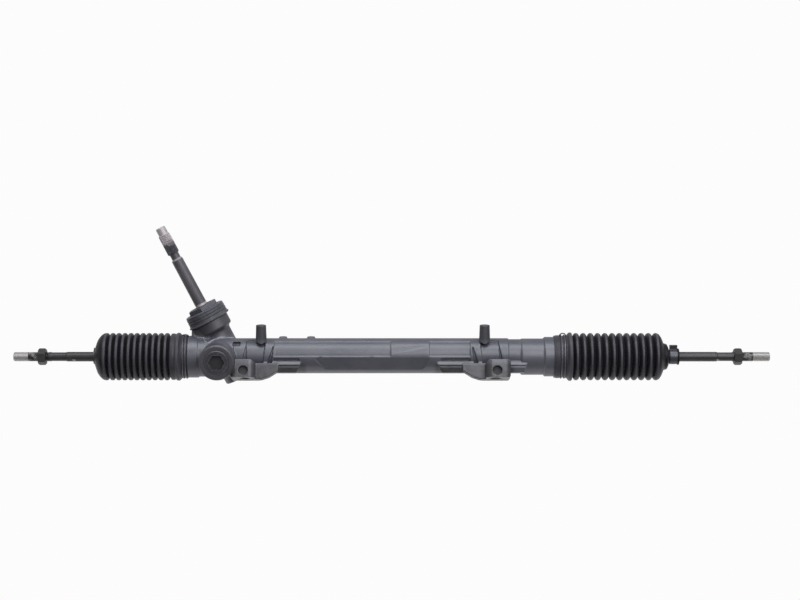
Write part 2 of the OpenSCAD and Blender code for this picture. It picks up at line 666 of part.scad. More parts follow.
module pinion_shaft() color(paint) difference() {
    union() {
        on_pinion([[0, cap_top + 0.5], [journal_d / 2 - 1, cap_top + 0.5],
            [journal_d / 2, cap_top + 1.5], [journal_d / 2, -gear_half - 1],
            [pinion_root_r - 0.3, -gear_half], [pinion_root_r - 0.3, gear_half],
            [pinion_tip_r + 0.3, gear_half], [pinion_tip_r + 0.3, bearing_bottom - 4],
            [bearing_id / 2 + 1.4, bearing_bottom - 4],
            [bearing_id / 2 + 1.4, bearing_bottom], [bearing_id / 2, bearing_bottom],
            [bearing_id / 2, bearing_top], [shaft_base_d / 2 - 0.4, bearing_top],
            [shaft_base_d / 2 - 0.4, bearing_top + clip_t],
            [shaft_base_d / 2, bearing_top + clip_t], [shaft_base_d / 2, nut_top],
            [shaft_top_d / 2, taper_top - 1], [shaft_top_d / 2 - 1, taper_top],
            [neck_shaft_d / 2, taper_top + 0.6], [neck_shaft_d / 2, neck_top], [0, neck_top]]);
        on_pinion_axis(-gear_half) linear_extrude(height = 2 * gear_half + eps) gear_outline();
        intersection() {
            on_pinion_axis(neck_top) linear_extrude(height = spline_length) spline_outline();
            on_pinion([[0, neck_top - 1], [neck_shaft_d / 2, neck_top - 1],
                [spline_d / 2 + 0.3, neck_top + 1.6], [spline_d / 2 + 0.3, spline_top - 1.4],
                [tip_d / 2, spline_top + 0.1], [0, spline_top + 0.1]]);
        }
        on_pinion([[0, spline_top - 0.5], [tip_d / 2, spline_top - 0.5],
            [tip_d / 2, shaft_tip - 1.2], [tip_d / 2 - 1.2, shaft_tip], [0, shaft_tip]]);
    }
    on_pinion_axis(shaft_tip - tip_length - 1.5) cylinder(h = tip_length + 2, d = tip_bore_d);
    pinch_groove();
}

module shaft_end_plug() color("orangered") on_pinion([[0, shaft_tip - 8],
    [tip_bore_d / 2, shaft_tip - 8], [tip_bore_d / 2, shaft_tip - 2.6],
    [tip_bore_d / 2 - 1, shaft_tip - 2], [0, shaft_tip - 2]]);

module pinion_circlip() color(steel) on_pinion_axis(bearing_top) difference() {
    cylinder(h = clip_t, r = bearing_id / 2 + 1.6);
    translate([0, 0, -eps]) cylinder(h = clip_t + 2 * eps, r = shaft_base_d / 2 - 0.4);
    translate([-2, 0, -eps]) cube([4, bearing_id, clip_t + 2 * eps]);
}

// Yoke

module yoke_plunger() color(steel) difference() {
    on_yoke_axis(yoke_front) cylinder(h = yoke_back - yoke_front, d = yoke_d);
    rod_x(yoke_x - yoke_d, yoke_x + yoke_d, liner_r + liner_t);
    on_yoke_axis(spring_floor) cylinder(h = 20, r = spring_r + spring_wire / 2 + 0.4);
    on_yoke_axis(o_ring_at - o_ring_wire * 0.55) rotate_extrude()
        translate([yoke_d / 2 - o_ring_wire, 0]) square([o_ring_wire + eps, o_ring_wire * 1.1]);
}
module yoke_liner() color(plastic) intersection() {
    ring_x(yoke_x - yoke_d, yoke_x + yoke_d, liner_r + liner_t, liner_r);
    on_yoke_axis(yoke_front) cylinder(h = yoke_back - yoke_front, d = yoke_d - 0.4);
}

module yoke_o_ring() color(rubber) on_yoke_axis(o_ring_at) rotate_extrude()
    translate([yoke_d / 2 + slip - o_ring_wire / 2, 0]) circle(d = o_ring_wire, $fn = 24);

// A closed tube of round wire along a helix about z
module coil_wire(r, wire_r, height, turns) {
    ring_n = 8;
    steps = turns * 20;
    rings = [for (i = [0:steps]) let (a = i * 360 / 20, z = height * i / steps)
        [for (k = [0:ring_n - 1]) let (b = k * 360 / ring_n)
            [(r + wire_r * cos(b)) * cos(a), (r + wire_r * cos(b)) * sin(a), z + wire_r * sin(b)]]];
    points = [for (ring = rings) each ring];
    sides = [for (i = [0:steps - 1], k = [0:ring_n - 1]) let (n = (k + 1) % ring_n)
        [i * ring_n + k, (i + 1) * ring_n + k, (i + 1) * ring_n + n, i * ring_n + n]];
    ends = [[for (k = [0:ring_n - 1]) k],
        [for (k = [ring_n - 1:-1:0]) steps * ring_n + k]];
    polyhedron(points = points, faces = concat(sides, ends), convexity = 6);
}

module yoke_spring() color(steel) on_yoke_axis(spring_floor + spring_wire / 2)
    coil_wire(spring_r, spring_wire / 2, spring_roof - spring_floor - spring_wire, 3);

module yoke_plug() color(paint) on_yoke_axis() difference() {
    rotate_extrude() polygon([[0, plug_back], [plug_d / 2, plug_back],
        [plug_d / 2, plug_face - 1.2], [plug_d / 2 - 1.2, plug_face], [0, plug_face]]);
    translate([0, 0, plug_back - eps]) cylinder(h = spring_roof - plug_back + eps,
        r = spring_r + spring_wire / 2 + 0.4);
    translate([0, 0, plug_face - plug_hex_depth]) hex_prism(plug_hex_af, plug_hex_depth + eps);
}

// Rack

module tooth_gap(i) translate([pinion_x + i * rack_pitch_x, 0, 0]) rotate([0, -lean, 0])
    translate([0, 0, -rack_d]) linear_extrude(height = 2 * rack_d) {
        slope = tan(pressure_angle);
        pitch_y = pinion_y - pitch_r;
        over = 3;
        low = rack_gap_w / 2 - (pitch_y - gap_root_y) * slope;
        high = rack_gap_w / 2 + over * slope;
        polygon([[-low, gap_root_y], [low, gap_root_y], [high, pitch_y + over],
            [-high, pitch_y + over]]);
    }

module rack_bar() color(steel) difference() {
    union() {
        turned(LEFT, [[0, 0], [0, rack_d / 2], [rack_end_left - 1, rack_d / 2],
            [rack_end_left, rack_d / 2 - 1], [rack_end_left, 0]]);
        turned(RIGHT, [[0, 0], [0, rack_d / 2], [rack_end_right - 1, rack_d / 2],
            [rack_end_right, rack_d / 2 - 1], [rack_end_right, 0]]);
    }
    translate([pinion_x + mesh_shift - toothed_half, rack_flat, -rack_d])
        cube([2 * toothed_half, rack_d, 2 * rack_d]);
    for (i = [0:rack_teeth]) tooth_gap(i + round((mesh_shift - toothed_half) / rack_pitch_x));
    rod_x(-rack_end_left - eps, -rack_end_left + stud_length + 2, stud_d / 2);
    rod_x(rack_end_right - stud_length - 2, rack_end_right + eps, stud_d / 2);
}

module rack_bush() color(plastic) ring_x(stop_right - stop_ring_t_right - bush_length,
    stop_right - stop_ring_t_right, bush_r, rack_d / 2 + slip);

module left_stop_ring() color(steel) ring_x(-stop_left, -stop_left + stop_ring_t_left,
    end_bore_d / 2, rack_d / 2 + 0.8);

module right_stop_ring() color(steel) ring_x(stop_right - stop_ring_t_right, stop_right,
    end_bore_d / 2, rack_d / 2 + 0.8);

module bush_retaining_ring() color(steel) difference() {
    ring_x(stop_right, stop_right + clip_t, end_bore_d / 2 + 1.5, end_bore_d / 2 - 1.5);
    translate([stop_right - eps, -3, 0]) cube([clip_t + 2 * eps, 6, end_bore_d]);
}

// Ball joints and tie rods. Each is drawn outwards from its ball's centre.

function ball_reach(side) = side < 0 ? ball_reach_left : ball_reach_right;
function nut_from_tip(side) = side < 0 ? jam_nut_from_tip_left : jam_nut_from_tip_right;

module from_ball(side) mirror([side < 0 ? 1 : 0, 0, 0]) translate([ball_reach(side), 0, 0])
    children();

module rod_socket(side) color(paint) from_ball(side) difference() {
    turned(RIGHT, [[-socket_back - stud_length, 0], [-socket_back - stud_length, stud_d / 2 - 1],
        [-socket_back - stud_length + 1, stud_d / 2], [-socket_back, stud_d / 2],
        [-socket_back, socket_d / 2 - 2], [-socket_back + 2, socket_d / 2],
        [6, socket_d / 2], [socket_front, cavity_r + 1.4], [socket_front, 0]]);
    sphere(r = cavity_r);
    turned(RIGHT, [[8, 0], [8, ball_r - 0.1], [socket_front + eps, ball_r + 1.9],
        [socket_front + eps, 0]]);
    for (z = [-1, 1]) translate([-15, 0, z * (socket_d / 2 + 3.6)])
        cube([14, socket_d, 10], center = true);
}

module ball_seat(side) color(plastic) from_ball(side) difference() {
    sphere(r = seat_out_r);
    sphere(r = seat_in_r);
    translate([seat_open + 20, 0, 0]) cube([40, 60, 60], center = true);
}

module lock_washer(side) color(steel) {
    inner = side < 0 ? rack_end_left : rack_end_right;
    turned(side, [[inner, stud_d / 2], [inner, washer_d / 2], [inner + washer_t, washer_d / 2],
        [inner + washer_t, stud_d / 2]]);
}

module tie_rod(side) color(black_paint) from_ball(side) {
    waist_start = rod_length - thread_length - waist_length;
    free_thread = rod_length - nut_from_tip(side) + 0.5;
    sphere(r = ball_r);
    turned(RIGHT, [[4, 0], [4, 7], [20, 7], [24, shank_d / 2],
        [waist_start - 2, shank_d / 2], [waist_start, waist_d / 2],
        [free_thread, waist_d / 2], [free_thread, thread_d / 2],
        [rod_length - 1.4, thread_d / 2], [rod_length, thread_d / 2 - 1.4], [rod_length, 0]]);
}

module jam_nut(side) color(black_paint) {
    nut_reach = ball_reach(side) + rod_length - nut_from_tip(side) - jam_nut_t;
    mirror([side < 0 ? 1 : 0, 0, 0]) along_x(nut_reach) difference() {
        intersection() {
            hex_prism(jam_nut_af, jam_nut_t);
            rotate_extrude() polygon([[0, 0], [jam_nut_af / 2, 0], [jam_nut_af * 0.6, 2.2],
                [jam_nut_af * 0.6, jam_nut_t - 2.2], [jam_nut_af / 2, jam_nut_t], [0, jam_nut_t]]);
        }
        translate([0, 0, -eps]) cylinder(h = jam_nut_t + 2 * eps, d = waist_d);
    }
}

// Bellows, drawn outwards from the housing as [reach, radius] points

// The outside of one convolution, up to the root behind it
function fold(x, pitch) = [[x - 0.42 * pitch, crest_r - 4.2], [x - 0.31 * pitch, crest_r - 1.7],
    [x - 0.13 * pitch, crest_r], [x + 0.13 * pitch, crest_r], [x + 0.31 * pitch, crest_r - 1.7],
    [x + 0.42 * pitch, crest_r - 4.2], [x + 0.5 * pitch, root_r]];

// The inside of the same convolution, as far in as the wall is thick
function fold_inside(x, pitch) = let (w = 0.42 * pitch - bellows_wall, top = crest_r - bellows_wall)
    [[x - w - 0.3, root_r - bellows_wall], [x - w, top - 3.6], [x - 0.7 * w, top - 1.4],
        [x - 0.3 * w, top], [x + 0.3 * w, top], [x + 0.7 * w, top - 1.4], [x + w, top - 3.6],
        [x + w + 0.3, root_r - bellows_wall]];

function folds(first, pitch, count) = [for (i = [0:count - 1]) each fold(first + i * pitch, pitch)];

function folds_inside(first, pitch, count) =
    [for (i = [0:count - 1]) each fold_inside(first + i * pitch, pitch)];

function backwards(list) = [for (i = [len(list) - 1:-1:0]) list[i]];

module left_bellows() color(rubber) {
    first = first_crest_left;
    last = last_crest_left;
    funnel_r = 14.2;
    dome = [[last + 3, crest_r - 0.4], [last + 6, crest_r - 1.8], [last + 9, crest_r - 4.3],
        [last + 12, crest_r - 7.6], [last + 13.6, crest_r - 10], [last + 15.2, crest_r - 13.4],
        [last + 16.6, crest_r - 17.2], [last + 17.6, 15.6], [left_face - 0.4, 14.8]];
    dome_inside = [[last + 15.2, 16.4], [last + 14, 20], [last + 12, 24.4],
        [last + 10.2, crest_r - 8.6], [last + 7.6, crest_r - 5.8], [last + 5, crest_r - 3.4],
        [last + 2.4, crest_r - 2.2]];
    outside = concat([[band_out + 0.3, cuff_out_r], [band_out + 8.6, cuff_out_r],
        [band_out + 10, bead_r - 3], [band_out + 12, bead_r], [band_out + 16, bead_r],
        [band_out + 18, bead_r - 2.6], [first - 0.9 * crest_pitch_left, crest_r - 1.4],
        [first - 0.58 * crest_pitch_left, crest_r - 4.2], [first - 0.5 * crest_pitch_left, root_r]],
        [for (p = folds(first, crest_pitch_left, crests_left)) if (p[0] < last) p], dome);
    tuck = [[left_face - 1, funnel_r], [left_face - 11, funnel_r],
        [left_face - 11, small_cuff_out_r], [left_face + 0.6, small_cuff_out_r],
        [left_face + 0.6, small_cuff_r], [left_face - 13, small_cuff_r],
        [left_face - 13, funnel_r + 1.6]];
    inside = concat([[end_reach_left + soft_gap, cuff_in_r],
        [end_reach_left + soft_gap, root_r - bellows_wall]],
        [for (p = folds_inside(first, crest_pitch_left, crests_left)) if (p[0] < last) p]);
    turned(LEFT, concat(outside, tuck, dome_inside, backwards(inside),
        [[band_out + 0.3, cuff_in_r]]));
}

module right_bellows() color(rubber) {
    first = first_crest_right;
    last = last_crest_right;
    face = right_face;
    outside = concat([[collar_out + 0.3, cuff_out_r], [end_reach_right - 2, cuff_out_r],
        [end_reach_right - 0.6, bead_r - 2.4], [end_reach_right + 1.4, bead_r - 0.4],
        [end_reach_right + 5, bead_r - 0.4], [first - 0.5 * crest_pitch_right, root_r]],
        [for (p = folds(first, crest_pitch_right, crests_right)) if (p[0] < last) p],
        [[last + 1, crest_r], [last + 4.5, crest_r - 2.2], [last + 7.5, crest_r - 6],
            [face, crest_r - 12.5], [face + 0.4, 20.6], [face + 7, 18.6], [face + 8.6, 15],
            [face + 9, small_cuff_out_r], [face + 21.6, small_cuff_out_r],
            [face + 21.6, small_cuff_r], [face + 6.6, small_cuff_r], [face + 5, 16.6],
            [face - 1.6, 16.8], [face - 2.4, crest_r - 14.5]]);
    inside = concat([[end_reach_right + 0.5, cuff_in_r], [first - 0.5 * crest_pitch_right,
        root_r - bellows_wall]], [for (p = folds_inside(first, crest_pitch_right, crests_right))
        if (p[0] < last) p], [[last + 3.6, crest_r - 4.2]]);
    turned(RIGHT, concat(outside, backwards(inside), [[collar_out + 0.3, cuff_in_r]]));
}

// A double wire ring with a raised loop on top, for the large cuffs
module large_clamp(x) color(black_paint) {
    wire_r = clamp_wire / 2;
    ring_r = cuff_out_r + wire_r;
    spread = 2.1;
    for (dx = [-spread, spread]) {
        along_x(x + dx) rotate_extrude() translate([ring_r, 0]) circle(r = wire_r, $fn = 20);
        translate([x + dx, 0, ring_r]) cylinder(h = 4, r = wire_r, $fn = 20);
    }
    translate([0, 0, ring_r + 4]) rod_x(x - spread - wire_r, x + spread + wire_r, wire_r + 0.2);
}

// A band with a pinched ear, for the small cuffs
module small_clamp(side, reach, width, ear_top, ear_t) color(steel) {
    in_r = small_cuff_out_r + soft_gap;
    out_r = in_r + small_clamp_t;
    turned(side, [[reach, in_r], [reach, out_r], [reach + width, out_r], [reach + width, in_r]]);
    translate([side * (reach + width / 2), 0, (out_r + ear_top) / 2 - 0.2])
        cube([width, ear_t, ear_top - out_r + 0.4], center = true);
}

module left_bellows_large_clamp() large_clamp(-band_out - 4.6);
module right_bellows_large_clamp() large_clamp(end_reach_right - 7.4);
module left_bellows_small_clamp() small_clamp(LEFT, left_face - 5.8, 7, ear_top_left, 3.4);
module right_bellows_small_clamp() small_clamp(RIGHT, right_face + 10, 10, ear_top_right, 7);

rack_housing();
lower_pinion_cap();
needle_bearing_shell();
upper_bearing_outer_ring();
pinion_lock_nut();
pinion_oil_seal();
pinion_dust_boot();
yoke_plunger();
yoke_liner();
yoke_o_ring();
yoke_spring();
yoke_plug();
rack_bush();
bush_retaining_ring();
left_stop_ring();
right_stop_ring();
left_bellows();
right_bellows();
left_bellows_large_clamp();
right_bellows_large_clamp();
pinion_shaft();
shaft_end_plug();
upper_bearing_inner_ring();
pinion_circlip();
upper_bearing_balls();
upper_bearing_cage();
lower_needle_rollers();
rack_bar();
lock_washer(LEFT);  // left_lock_washer
lock_washer(RIGHT);  // right_lock_washer
rod_socket(LEFT);  // left_rod_socket
rod_socket(RIGHT);  // right_rod_socket
ball_seat(LEFT);  // left_ball_seat
ball_seat(RIGHT);  // right_ball_seat
tie_rod(LEFT);  // left_tie_rod
tie_rod(RIGHT);  // right_tie_rod
jam_nut(LEFT);  // left_jam_nut
jam_nut(RIGHT);  // right_jam_nut
left_bellows_small_clamp();
right_bellows_small_clamp();
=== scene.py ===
# %% [markdown]
# A manual rack and pinion steering gear, dressed for a studio photograph. The hard pieces come
# from the packed CAD model, which stays fixed. Cast metal, rubber, wire and threads are built
# again here, because their looks live in fillets, folds and grooves that the CAD solids leave
# out. Lengths are written in millimetres and turned into metres by one factor.

import math

import bmesh
import bpy
from mathutils import Matrix, Vector
from mathutils.bvhtree import BVHTree


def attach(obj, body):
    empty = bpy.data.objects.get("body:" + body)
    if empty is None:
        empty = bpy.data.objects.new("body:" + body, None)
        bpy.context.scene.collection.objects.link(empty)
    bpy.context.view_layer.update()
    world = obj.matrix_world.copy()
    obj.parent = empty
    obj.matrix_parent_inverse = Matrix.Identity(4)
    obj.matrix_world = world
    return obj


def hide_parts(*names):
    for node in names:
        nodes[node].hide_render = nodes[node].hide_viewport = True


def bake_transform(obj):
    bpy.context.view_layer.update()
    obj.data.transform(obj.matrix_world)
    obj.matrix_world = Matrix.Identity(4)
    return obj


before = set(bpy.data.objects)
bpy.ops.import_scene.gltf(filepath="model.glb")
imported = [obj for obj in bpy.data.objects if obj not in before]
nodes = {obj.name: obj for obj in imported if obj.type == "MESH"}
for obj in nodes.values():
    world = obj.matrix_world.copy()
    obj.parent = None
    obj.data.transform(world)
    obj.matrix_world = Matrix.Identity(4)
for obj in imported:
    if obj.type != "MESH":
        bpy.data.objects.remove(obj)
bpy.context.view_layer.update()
MM = 0.001

# %% [markdown]
# The gear was photographed from its front, slightly from above, by a camera under three metres
# away, so the folds of the bellows curve away to both sides. A long lens at that distance gives
# the same curves. The camera looks along +Y and is pitched down. Its position is found by walking
# back from the middle of the picture, a point above the rack and a little right of the origin.

# %% Camera
PITCH = math.radians(7.7)
DISTANCE = 2.7
LENS = 81.0
MIDDLE_RIGHT, MIDDLE_UP = 43.9 * MM, 85.0 * MM
look = Vector((0, math.cos(PITCH), -math.sin(PITCH)))
target = Vector((MIDDLE_RIGHT, MIDDLE_UP * math.sin(PITCH), MIDDLE_UP * math.cos(PITCH)))
camera = bpy.data.objects.new("camera", bpy.data.cameras.new("camera"))
camera.data.lens = LENS
camera.data.sensor_width = 36
camera.location = target - DISTANCE * look
camera.rotation_euler = (math.pi / 2 - PITCH, 0, 0)
bpy.context.scene.collection.objects.link(camera)
bpy.context.scene.camera = camera
print("camera at", [round(x, 3) for x in camera.location])

# %% [markdown]
# A finish is a material made of nodes. To keep its maths readable, one class wraps a socket and
# turns Python's operators into Math nodes, with the reflected forms, so that 1 - mask works.
# Another class holds a node tree, and its one method, node, makes every other kind of node. A
# finish is such a tree with a shader in it, and it knows the place on the object in millimetres.

# %% Shader sockets as Python values
class Value:
    """A socket of a node tree. Operators on it add Math nodes."""

    def __init__(self, owner, socket):
        self.owner, self.socket = owner, socket

    def math(self, operation, *values):
        return self.owner.node("ShaderNodeMath", {"operation": operation}, dict(enumerate(values)))

    def __add__(self, other): return self.math("ADD", self, other)
    def __radd__(self, other): return self.math("ADD", other, self)
    def __sub__(self, other): return self.math("SUBTRACT", self, other)
    def __rsub__(self, other): return self.math("SUBTRACT", other, self)
    def __mul__(self, other): return self.math("MULTIPLY", self, other)
    def __rmul__(self, other): return self.math("MULTIPLY", other, self)
    def __abs__(self): return self.math("ABSOLUTE", self)
    def __or__(self, other): return self.math("MAXIMUM", self, other)

    def ramp(self, low, high):
        """0 below low and 1 above high, smooth between. It falls where low is above high."""
        return self.owner.node("ShaderNodeMapRange", {"interpolation_type": "SMOOTHSTEP"},
                               {"Value": self, "From Min": low, "From Max": high})

    def band(self, rise, fall):
        """1 between two ramps, each given by where it starts and where it ends."""
        return self.ramp(*rise) * (1 - self.ramp(*fall))

    def near(self, middle, half, fade=1):
        """1 up to half away from the middle, and 0 from half plus fade on."""
        return abs(self - middle).ramp(half + fade, half)


print("a Value can:", [name for name, item in vars(Value).items() if callable(item)])

# %% Node trees and finishes
class Nodes:
    """A node tree, with the one method that adds nodes to it."""

    def __init__(self, tree):
        self.tree = tree

    def node(self, kind, settings=None, inputs=None, output=0):
        """Sets the settings first, then gives each input its value or its link."""
        made = self.tree.nodes.new(kind)
        for key, value in (settings or {}).items():
            setattr(made, key, value)
        for key, value in (inputs or {}).items():
            if isinstance(value, Value):
                self.tree.links.new(value.socket, made.inputs[key])
            else:
                made.inputs[key].default_value = value
        return Value(self, made.outputs[output])


class Finish(Nodes):
    """A material whose constants are set on its shader. Its x, y and z are places in mm."""

    def __init__(self, name, **constants):
        self.material = bpy.data.materials.new(name)
        self.material.use_nodes = True
        super().__init__(self.material.node_tree)
        self.shader = self.tree.nodes["Principled BSDF"]
        for key, value in constants.items():
            self.shader_input(key).default_value = value
        self.place = self.node("ShaderNodeTexCoord", output="Object")
        self.place_mm = self.node("ShaderNodeVectorMath", {"operation": "SCALE"},
                                  {0: self.place, "Scale": 1 / MM})
        split = self.node("ShaderNodeSeparateXYZ", None, {0: self.place_mm}).socket.node
        self.x, self.y, self.z = [Value(self, socket) for socket in split.outputs]

    def shader_input(self, words):
        """The shader's socket that is named by lower-case words joined with underscores."""
        return next(s for s in self.shader.inputs if s.name.lower() == words.replace("_", " "))

    def noise(self, size_mm, detail=3, roughness=0.5, stretch=None):
        """Noise from about 0.3 to 0.7 with blobs of size_mm. Stretch multiplies the place, so a
        share below 1 draws the blobs out in that direction."""
        place = self.place
        if stretch:
            place = self.node("ShaderNodeVectorMath", {"operation": "MULTIPLY"},
                              {0: place, 1: stretch})
        return self.node("ShaderNodeTexNoise", None, {
            "Vector": place, "Scale": 1 / (size_mm * MM), "Detail": detail,
            "Roughness": roughness}, "Fac")

    def mix(self, share, first, second):
        """A colour that goes from first to second as share goes from 0 to 1."""
        pick = {0: share}
        for key, colour in ((6, first), (7, second)):
            pick[key] = colour if isinstance(colour, Value) else (*colour, 1)
        return self.node("ShaderNodeMix", {"data_type": "RGBA"}, pick, 2)

    def soft_normal(self, radius_mm):
        """The face's normal, rounded over edges of this radius."""
        return self.node("ShaderNodeBevel", {"samples": 6}, {"Radius": radius_mm * MM})

    def edge_mask(self, radius_mm):
        """1 on edges of this radius, where the rounded normal leaves the face's own."""
        own = self.node("ShaderNodeNewGeometry", output="Normal")
        same = self.node("ShaderNodeVectorMath", {"operation": "DOT_PRODUCT"},
                         {0: self.soft_normal(radius_mm), 1: own}, "Value")
        return (1 - same).ramp(0.02, 0.2)

    def feed(self, **values):
        for key, value in values.items():
            self.tree.links.new(value.socket, self.shader_input(key))

    def bump(self, height, depth_mm, under=None):
        """Height from 0 to 1 becomes relief of this depth. Under is a rounded normal below it."""
        inputs = {"Height": height, "Distance": depth_mm * MM, "Strength": 1.0}
        if under:
            inputs["Normal"] = under
        self.feed(normal=self.node("ShaderNodeBump", None, inputs))


print("nodes of an empty finish:", len(Finish("trial").tree.nodes))
bpy.data.materials.remove(bpy.data.materials["trial"])

# %% [markdown]
# Frames of reference. Nearly every piece is round, so it is drawn as an outline of (station,
# radius) points and turned about an axis. A matrix places that axis: its third column points
# along it. The rack's two ends share one drawing, and only the matrix says which side it is on.

# %% Axes of the real object
LEAN = math.radians(27.3)
PINION_X, PINION_Y = -215, 13.99
PINION_AXIS = (-math.sin(LEAN), 0, math.cos(LEAN))


def axis_frame(origin_mm, along, across):
    """A matrix whose z runs along an axis and whose x is across it."""
    z = Vector(along).normalized()
    x = (Vector(across) - Vector(across).dot(z) * z).normalized()
    y = z.cross(x)
    turn = Matrix((x, y, z)).transposed().to_4x4()
    return Matrix.Translation(Vector(origin_mm) * MM) @ turn


RIGHT = axis_frame((0, 0, 0), (1, 0, 0), (0, 0, 1))
LEFT = axis_frame((0, 0, 0), (-1, 0, 0), (0, 0, 1))
PINION = axis_frame((PINION_X, PINION_Y, 0), PINION_AXIS, (0, -1, 0))
print("pinion leans", round(math.degrees(LEAN), 1), "degrees")

# %% [markdown]
# Three helpers make most meshes. The first rounds the corners of an outline, since no moulded or
# machined edge is perfectly sharp, and a rounded edge is what catches the light. The second turns
# the outline into a closed solid. Its groove function may change the radius by station and angle,
# which cuts threads and moulding lines into the same grid. The third draws round wires along
# points.

# %% Rounded outlines
def rounded(corners, steps=4):
    """(station, radius, fillet) corners as a smooth outline. Without a fillet one stays sharp."""
    out = []
    for i, corner in enumerate(corners):
        here = Vector(corner[:2])
        fillet = corner[2] if len(corner) > 2 else 0
        if not fillet:
            out.append(tuple(here))
            continue
        before = Vector(corners[i - 1][:2]) - here
        after = Vector(corners[(i + 1) % len(corners)][:2]) - here
        angle = before.angle(after)
        back = min(fillet / math.tan(angle / 2), before.length * 0.49, after.length * 0.49)
        a, b = here + before.normalized() * back, here + after.normalized() * back
        for k in range(steps + 1):
            t = k / steps
            out.append(tuple(a * (1 - t) ** 2 + here * (2 * t * (1 - t)) + b * t * t))
    return out


sample = rounded([(0, 10), (5, 10, 1), (5, 0)])
print("a corner with a fillet becomes", len(sample), "points")

# %% Pieces and turned meshes
def new_piece(name, mesh, finish, smooth_degrees=40):
    """An object in the row frame with a finish and smooth shading up to an angle."""
    made = bpy.data.objects.new(name, mesh)
    bpy.context.scene.collection.objects.link(made)
    mesh.materials.clear()
    mesh.materials.append(finish.material)
    bpy.context.view_layer.objects.active = made
    for other in bpy.context.selected_objects:
        other.select_set(False)
    made.select_set(True)
    bpy.ops.object.shade_smooth_by_angle(angle=math.radians(smooth_degrees))
    return made


ON_AXIS = 1e-6


def turned_mesh(name, outline, axis, segments=128, groove=None):
    """A closed mesh: the outline, a loop of (station, radius) in mm, turned about the axis. A
    point on the axis becomes one vertex, and every other point a ring."""
    b = bmesh.new()
    rings = []
    for station, radius in outline:
        if radius < ON_AXIS:
            rings.append([b.verts.new(axis @ Vector((0, 0, station * MM)))])
            continue
        ring = []
        for k in range(segments):
            a = 2 * math.pi * k / segments
            r = groove(station, a, radius) if groove else radius
            point = Vector((math.cos(a) * r, math.sin(a) * r, station))
            ring.append(b.verts.new(axis @ (point * MM)))
        rings.append(ring)
    for one, two in zip(rings, rings[1:] + rings[:1]):
        if len(one) == 1 and len(two) == 1:
            continue
        for k in range(segments):
            n = (k + 1) % segments
            if len(one) == 1:
                b.faces.new((one[0], two[k], two[n]))
            elif len(two) == 1:
                b.faces.new((one[k], two[0], one[n]))
            else:
                b.faces.new((one[k], two[k], two[n], one[n]))
    bmesh.ops.recalc_face_normals(b, faces=b.faces)
    mesh = bpy.data.meshes.new(name)
    b.to_mesh(mesh)
    b.free()
    return mesh


trial = turned_mesh("trial", sample + [(0, 0)], RIGHT, 8)
print("turned in 8 steps, that outline has", len(trial.polygons), "faces")
bpy.data.meshes.remove(trial)

# %% Wires
def wire_mesh(name, lines, radius_mm, sides=12):
    """Round wires along lists of points in mm. A line closes into a ring or has flat ends."""
    b = bmesh.new()
    for points, closed in lines:
        points = [Vector(p) for p in points]
        count = len(points)
        rings = []
        for i, p in enumerate(points):
            ahead = points[(i + 1) % count] if closed or i < count - 1 else p
            behind = points[i - 1] if closed or i else p
            tangent = (ahead - behind).normalized()
            across = tangent.cross(Vector((0.31, 0.87, 0.38))).normalized() if not rings \
                else (across - across.dot(tangent) * tangent).normalized()
            up = tangent.cross(across)
            rings.append([b.verts.new((p + (across * math.cos(a) + up * math.sin(a))
                                       * radius_mm) * MM)
                          for a in [2 * math.pi * k / sides for k in range(sides)]])
        pairs = list(zip(rings, rings[1:]))
        if closed:
            last = min(range(sides), key=lambda s: (rings[0][s].co - rings[-1][0].co).length)
            pairs.append((rings[-1], rings[0][last:] + rings[0][:last]))
        for one, two in pairs:
            for k in range(sides):
                n = (k + 1) % sides
                b.faces.new((one[k], two[k], two[n], one[n]))
        if not closed:
            b.faces.new(rings[0])
            b.faces.new(list(reversed(rings[-1])))
    bmesh.ops.recalc_face_normals(b, faces=b.faces)
    mesh = bpy.data.meshes.new(name)
    b.to_mesh(mesh)
    b.free()
    return mesh


trial = wire_mesh("trial", [([(0, 0, 0), (5, 0, 0)], False)], 1)
print("a straight wire has", len(trial.polygons), "faces")
bpy.data.meshes.remove(trial)

# %% [markdown]
# The housing's finish is satin paint in a dark blue grey, sprayed over a sand-blasted casting.
# Under the spray the casting's grain still shows as fine relief, and larger waves come from the
# mould. The paint's colour is a function, because the plug, the cap and the nut wear the same
# paint.

# %% Paint colour and casting grain
# A near-black colour: painted shade on the casting, and grime on the turned pieces.
GRIME_AND_SHADE = (0.014, 0.0125, 0.013)


def paint_colours(f):
    """Dark blue grey with wide blotches, pale specks and a dusty veil."""
    blotch = f.noise(38, 2)
    speck = f.noise(1.1, 3)
    dusty = f.noise(7, 4, 0.6)
    base = f.mix(blotch.ramp(0.35, 0.65), (0.049, 0.051, 0.064), (0.062, 0.063, 0.075))
    base = f.mix(speck.ramp(0.56, 0.72) * 0.35, base, (0.11, 0.11, 0.125))
    return f.mix(dusty.ramp(0.55, 0.75) * 0.22, base, (0.095, 0.09, 0.085))


cast_paint = Finish("cast_paint", specular_ior_level=0.75)
painted = paint_colours(cast_paint)
grain = cast_paint.noise(1.4, 4, 0.6) * 0.6 + cast_paint.noise(9, 2) * 0.9
print("paint and grain use", len(cast_paint.tree.nodes), "nodes")
